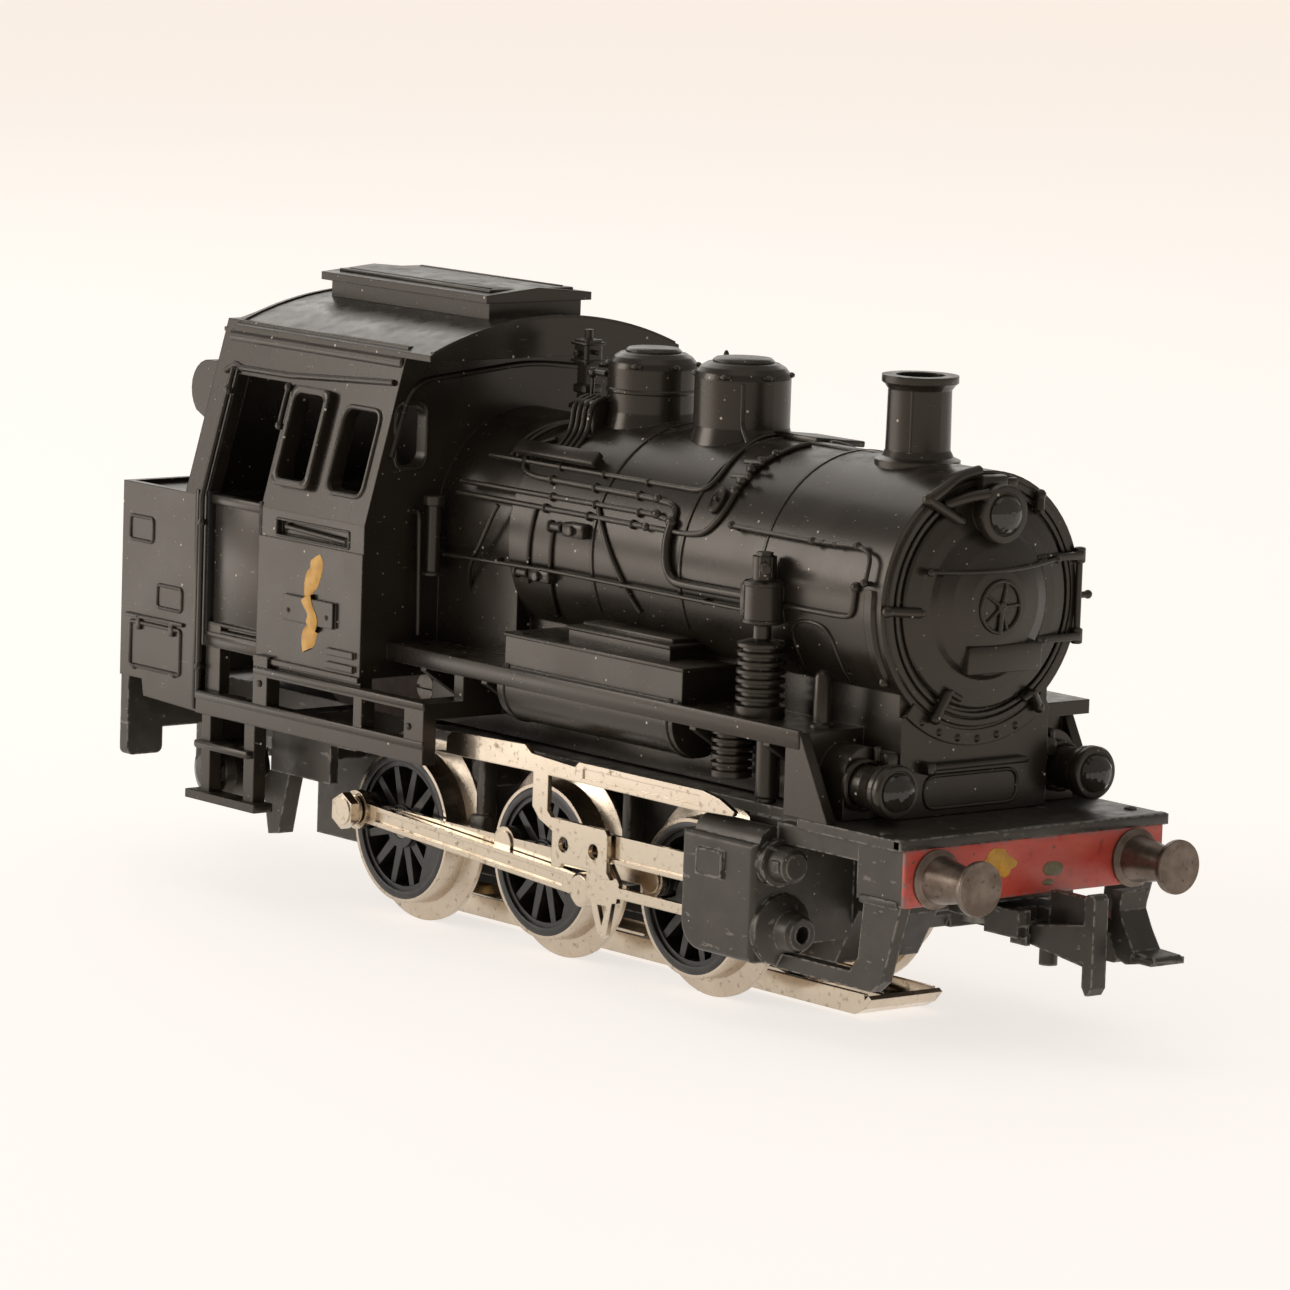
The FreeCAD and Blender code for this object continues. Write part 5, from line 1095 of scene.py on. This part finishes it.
@both_sides("tool_box")
def tool_boxes(s, side):
    """Lids of the boxes on the running boards, and bands on the tanks below."""
    s.box((1.0, 23.5), side_span(side, 7.0, 13.15), (25.85, 26.2), 0.12)
    s.box((6.7, 19.7), side_span(side, 7.0, 11.4), (27.0, 27.35), 0.12)
    s.box((7.6, 18.8), side_span(side, 7.0, 10.4), (27.3, 27.7), 0.12)
    for x in (1.6, 22.0):
        s.lathe([(-0.25, 2.85), (-0.2, 3.02), (0.2, 3.02), (0.25, 2.85)], (x, side * 10.6, 21.9),
                X_AXIS, 48, caps=False)


@moulding
def pump_details(s):
    """Valve head, rings and side pipe of the air pump."""
    at = Vector((30.2, -11.0, 0))
    hexagon = [(0.95 * math.cos(a), 0.95 * math.sin(a)) for a in circle(6)]
    s.plate(hexagon, 1.6, lambda u, v, w: Vector((at.x + u, at.y + v, 34.0 + w)))
    s.plate(hexagon, 0.5, lambda u, v, w: Vector((at.x + u * 0.7, at.y + v * 0.7, 35.4 + w)))
    s.rod((at.x + 0.6, at.y - 0.5, 34.8), (at.x + 1.7, at.y - 1.2, 34.8), 0.42)
    for z in (30.45, 33.3):
        s.lathe([(0, 1.48), (0.1, 1.62), (0.3, 1.62), (0.4, 1.48)], (at.x, at.y, z), Z_AXIS, 32, caps=False)
    s.box((at.x - 1.9, at.x - 1.1), (at.y - 0.8, at.y + 0.9), (30.8, 33.4), 0.15)
    s.rod((31.4, -11.0, 22.0), (31.4, -11.0, 17.2), 0.95, 0.95)


@both_sides("side_frame_trim")
def side_frame_details(s, side):
    """Bolts on the side frames and rounded ladder treads."""
    s.box((-35.3, -4.0), side_span(side, 16.6, 17.0), (16.2, 16.9), 0.15)
    s.box((-27.2, -4.0), side_span(side, 16.6, 17.0), (19.35, 20.0), 0.15)
    for low, high, x0, x1, reach in ((12.2, 12.8, -34.9, -27.3, 17.3), (7.9, 8.6, -35.8, -25.9, 17.38)):
        s.box((x0, x1), side_span(side, 15.6, reach), (low - 0.03, high + 0.03), 0.22)
    for x, z in ((-6.0, 17.9), (-26.3, 18.6)):
        s.ball((x, side * 16.95, z), 0.3, 10, (1, 0.5, 1))


# ---------------------------------------------------------------- chassis details
def front_beam_paint():
    """Red painted face of the front buffer beam."""
    face = node_box("front_buffers")[0].x
    s = Shape()
    s.box((face - 0.35, face + 0.08), (-12.95, 12.95), (11.75, 16.12), 0.16)
    s.piece("front_beam_paint", "frame", RED)


def paint_blob(name, centre, size, material, seed, lobes):
    """Irregular dab of thick paint on the front beam."""
    rng = random.Random(seed)
    face = node_box("front_buffers")[0].x + 0.08
    shape = []
    for a in circle(36):
        reach = 1 + 0.22 * math.sin(lobes * a + seed) + 0.05 * rng.uniform(-1, 1)
        shape.append((size[0] * reach * math.cos(a), size[1] * reach * math.sin(a)))
    s = Shape()
    rings = []
    for grow, lift in ((1.0, -0.04), (0.97, 0.05), (0.75, 0.1), (0.4, 0.12), (0.05, 0.12)):
        rings.append([(face + lift, centre[0] + u * grow, centre[1] + v * grow) for u, v in shape])
    s.faces_from(rings)
    s.piece(name, "frame", material)


def beam_dabs():
    """Dabs of touch-up paint on the front beam."""
    paint_blob("yellow_dab", (-3.85, 14.6), (1.75, 0.85), YELLOW, 3, 3)
    paint_blob("yellow_dab_tail", (-3.1, 14.1), (0.75, 0.65), YELLOW, 5, 2)
    paint_blob("olive_dab", (1.75, 13.6), (0.85, 0.7), OLIVE, 8, 2)
    paint_blob("olive_streak", (1.3, 12.6), (0.7, 0.2), OLIVE, 11, 2)


def beam_lip():
    """Worn upper lip of the front footplate and its screws."""
    s = Shape()
    s.box((48.9, 49.85), (-13.5, 13.5), (16.0, 16.95), 0.2)
    for side in BOTH:
        s.lathe([(0, 0.5), (0.15, 0.5), (0.25, 0.38), (0.3, 0.05)], (46.8, side * 12.3, 16.8), Z_AXIS, 16)
    s.piece("beam_lip", "frame", CAST)


@both_sides("cylinder_trim", CAST)
def cylinder_trims(s, side):
    """Bolt ring, chest rim and pad frame on the cylinder castings, and the guard's cross rib."""
    for k in range(6):
        a = math.radians(60 * k + 20)
        y, z = side * 12.2 + 2.3 * math.cos(a), 7.75 + 2.3 * math.sin(a)
        s.rod((CYLINDER_FRONT, y, z), (CYLINDER_FRONT + 0.5, y, z), 0.22)
    s.lathe([(0.4, 1.65), (0.5, 1.82), (0.8, 1.82), (0.9, 1.35)], (CYLINDER_FRONT, side * 13.0, 13.0),
            X_AXIS, 32, caps=False)
    s.box((CYLINDER_FRONT + 1.2, CYLINDER_FRONT + 2.2), side_span(side, 12.9, 14.5), (12.5, 13.5), 0.2)
    loop = [Vector((u, side * 15.2, v)) for u, v in rectangle((28.4, 31.3), (11.4, 13.3), 0.3)]
    s.tube(loop, 0.1, 8, closed=True)
    s.box((44.8, 49.1), side_span(side, 12.6, 13.1), (11.5, 12.2), 0.2)


def frame_side_details():
    """Round screw heads, brake blocks and stiffening ribs between the wheels."""
    s = Shape()
    for side in BOTH:
        s.lathe([(0, 1.05), (0.35, 1.1), (0.5, 0.95), (0.52, 0.05)], (-8.0, side * 7.6, 13.3),
                side * Y_AXIS, 28)
        s.box((-9.6, -6.4), side_span(side, 4.9, 7.8), (12.2, 14.6), 0.3)
        for x in (-6.2, 12.5):
            s.box((x - 0.5, x + 0.5), side_span(side, 7.9, 9.4), (9.4, 15.9), 0.2)
            s.box((x - 0.9, x + 0.9), side_span(side, 8.3, 9.7), (7.4, 10.2), 0.3)
    s.piece("frame_side_details", "frame", CAST)


# ---------------------------------------------------------------- pieces that ride on moving bodies
def crank_pin_faces():
    """Turned centre marks on the hexagonal crank-pin heads."""
    outer_y = node_box("crank_pins_rear")[1].y
    profile = [(-0.3, 1.12), (-0.02, 1.1), (0.0, 0.95), (-0.06, 0.85),
               (-0.06, 0.3), (-0.02, 0.25), (-0.02, 0.01)]
    for side, name, degrees in ((RIGHT, "right", 165.0), (LEFT, "left", 255.0)):
        a = math.radians(degrees)
        x, z = WHEEL_X["rear"] + CRANK_THROW * math.cos(a), AXLE_HEIGHT + CRANK_THROW * math.sin(a)
        s = Shape()
        s.lathe(profile, (x, side * outer_y, z), side * Y_AXIS, 32)
        s.piece("crank_pin_face_" + name, "wheelset_rear", NICKEL)


def wheel_rims():
    """Black outer ring of each wheel face, painted over the inner part of the tyre."""
    for name, x in WHEEL_X.items():
        s = Shape()
        high = node_box("tyres_" + name)[1]
        for side in BOTH:
            s.lathe([(-0.3, 5.3), (0.02, 5.3), (0.05, 5.45), (0.05, 5.85), (-0.02, 5.98), (-0.3, 5.98)],
                    (x, side * high.y, AXLE_HEIGHT), side * Y_AXIS, 72, caps=False)
        s.piece("wheel_rims_" + name, "wheelset_" + name, WHEEL)


def buffer_marks():
    """Shallow turned ring and centre mark on the buffer heads."""
    s = Shape()
    for node, direction in (("front_buffers", 1), ("rear_buffers", -1)):
        low, high = node_box(node)
        face = high.x if direction > 0 else low.x
        z = (low.z + high.z) / 2
        for side in BOTH:
            y = side * (high.y - 2.25)
            s.lathe([(-0.2, 0.5), (-0.02, 0.48), (0.0, 0.4), (0.0, 0.01)], (face - 0.02 * direction, y, z),
                    direction * X_AXIS, 20)
            s.lathe([(-0.5, 2.06), (-0.4, 2.09), (-0.1, 2.09), (-0.02, 2.0), (-0.05, 1.8), (-0.2, 1.7)],
                    (face, y, z), direction * X_AXIS, 44, caps=False)
    s.piece("buffer_marks", "frame", BUFFER)


# ---------------------------------------------------------------- stage, light and camera
AIM = Vector((0.0, 0.0, 0.020))
AZIMUTH, ELEVATION, ROLL = math.radians(50.92), math.radians(8.04), math.radians(1.89)
DISTANCE = 0.56312
PAN = (0.00179, 0.00410)
SENSOR_WIDTH = 36.0
FOCAL_LENGTH = 195.896


def camera():
    """Long lens ahead of the model and to its right, turned slightly about its axis."""
    level = Vector((math.cos(AZIMUTH), math.sin(AZIMUTH), 0.0))
    back = level.cross(Z_AXIS) * math.cos(ELEVATION) + Z_AXIS * math.sin(ELEVATION)
    upward = back.cross(level)
    right = level * math.cos(ROLL) + upward * math.sin(ROLL)
    up = upward * math.cos(ROLL) - level * math.sin(ROLL)
    data = bpy.data.cameras.new("camera")
    data.sensor_width = SENSOR_WIDTH
    data.lens = FOCAL_LENGTH
    data.clip_start = 0.01
    made = bpy.data.objects.new("camera", data)
    place = AIM + back * DISTANCE + right * PAN[0] + up * PAN[1]
    made.matrix_world = Matrix.Translation(place) @ Matrix((right, up, back)).transposed().to_4x4()
    bpy.context.scene.collection.objects.link(made)
    bpy.context.scene.camera = made


def floor():
    """Plain pale floor of glowing paper, creamier far away, with a painted patch of light where it glows
    much brighter outside the view at the left.
    """
    mesh = bpy.data.meshes.new("floor")
    count, radius = 96, 4.0
    rim = [(radius * math.cos(a), radius * math.sin(a), 0.0) for a in circle(count)]
    mesh.from_pydata(rim, [], [list(range(count))])
    s = Shader("floor_paper", (0.42, 0.405, 0.385), 0.9, specular=0.1)
    backwards = s.node("ShaderNodeVectorMath", "Value", operation="DOT_PRODUCT",
                       i0=s.position, i1=(-0.777, 0.63, 0.0))
    far = s.step(backwards, 100.0, 1900.0)
    glow = s.mix(far, (1.0, 0.955, 0.91), (0.96, 0.83, 0.73))
    # Painted patch of light: the glow rises from 0.76 to 3.1 near a point at the left, outside the view, in
    # place of the left softbox lighting the floor.
    painted_light_pool = s.node("ShaderNodeVectorMath", "Value", operation="DISTANCE",
                  i0=s.position, i1=(-190.0, -200.0, 0.0))
    strength = s.step(painted_light_pool, 80.0, 190.0, 3.1, 0.76)
    s.feed(s.bsdf.inputs["Emission Color"], glow)
    s.feed(s.bsdf.inputs["Emission Strength"], strength)
    mesh.materials.append(s.done())
    made = bpy.data.objects.new("floor", mesh)
    bpy.context.scene.collection.objects.link(made)


def soft_light(name, place, size, watts):
    """Rectangular lamp that faces the middle of the model."""
    data = bpy.data.lights.new(name, "AREA")
    data.shape = "RECTANGLE"
    data.size, data.size_y = size
    data.energy = watts
    data.color = (1.0, 0.97, 0.93)
    made = bpy.data.objects.new(name, data)
    place = Vector(place)
    made.location = place
    made.rotation_euler = (AIM - place).to_track_quat("-Z", "Y").to_euler()
    bpy.context.scene.collection.objects.link(made)


def lights():
    """Soft boxes at the left, above and behind, in a dim warm room."""
    world = bpy.data.worlds.new("studio")
    world.use_nodes = True
    surround = world.node_tree.nodes["Background"]
    surround.inputs["Color"].default_value = (1.0, 0.95, 0.9, 1.0)
    surround.inputs["Strength"].default_value = 0.36
    bpy.context.scene.world = world
    soft_light("left_box", (-0.5, -0.6, 0.26), (0.4, 0.36), 2.3)
    soft_light("high_box", (-0.6, 0.15, 0.5), (0.45, 0.45), 0.7)
    soft_light("top_box", (0.1, -0.1, 0.8), (0.6, 0.6), 0.45)
    soft_light("back_panel", (-2.3, 1.85, 1.0), (3.0, 1.3), 11.0)
    bpy.context.scene.view_settings.view_transform = "Standard"


# ---------------------------------------------------------------- build
dress_cad_nodes()
boiler_bands()
long_pipes()
valve_cluster()
washout_covers()
drop_pipes()
reach_rods()
check_valves()
boiler_handrails()
smokebox_straps()
smokebox_posts()
top_walkway()
turbo_box()
dome_details()
safety_valve()
smokebox_clamps()
smokebox_hinge()
door_rail()
door_handwheel()
blank_plate()
upper_lamp_trim()
lower_lamp_trims()
saddle_details()
chimney_trim()
cab_windows()
half_doors()
door_gap_shade()
door_handrails()
cab_side_details()
brush_mark()
bunker_details()
bunker_rear()
cab_rear_windows()
roof_details()
ventilator_details()
cab_front_details()
board_edges()
tool_boxes()
pump_details()
side_frame_details()
front_beam_paint()
beam_dabs()
beam_lip()
cylinder_trims()
frame_side_details()
crank_pin_faces()
wheel_rims()
buffer_marks()
floor()
lights()
camera()
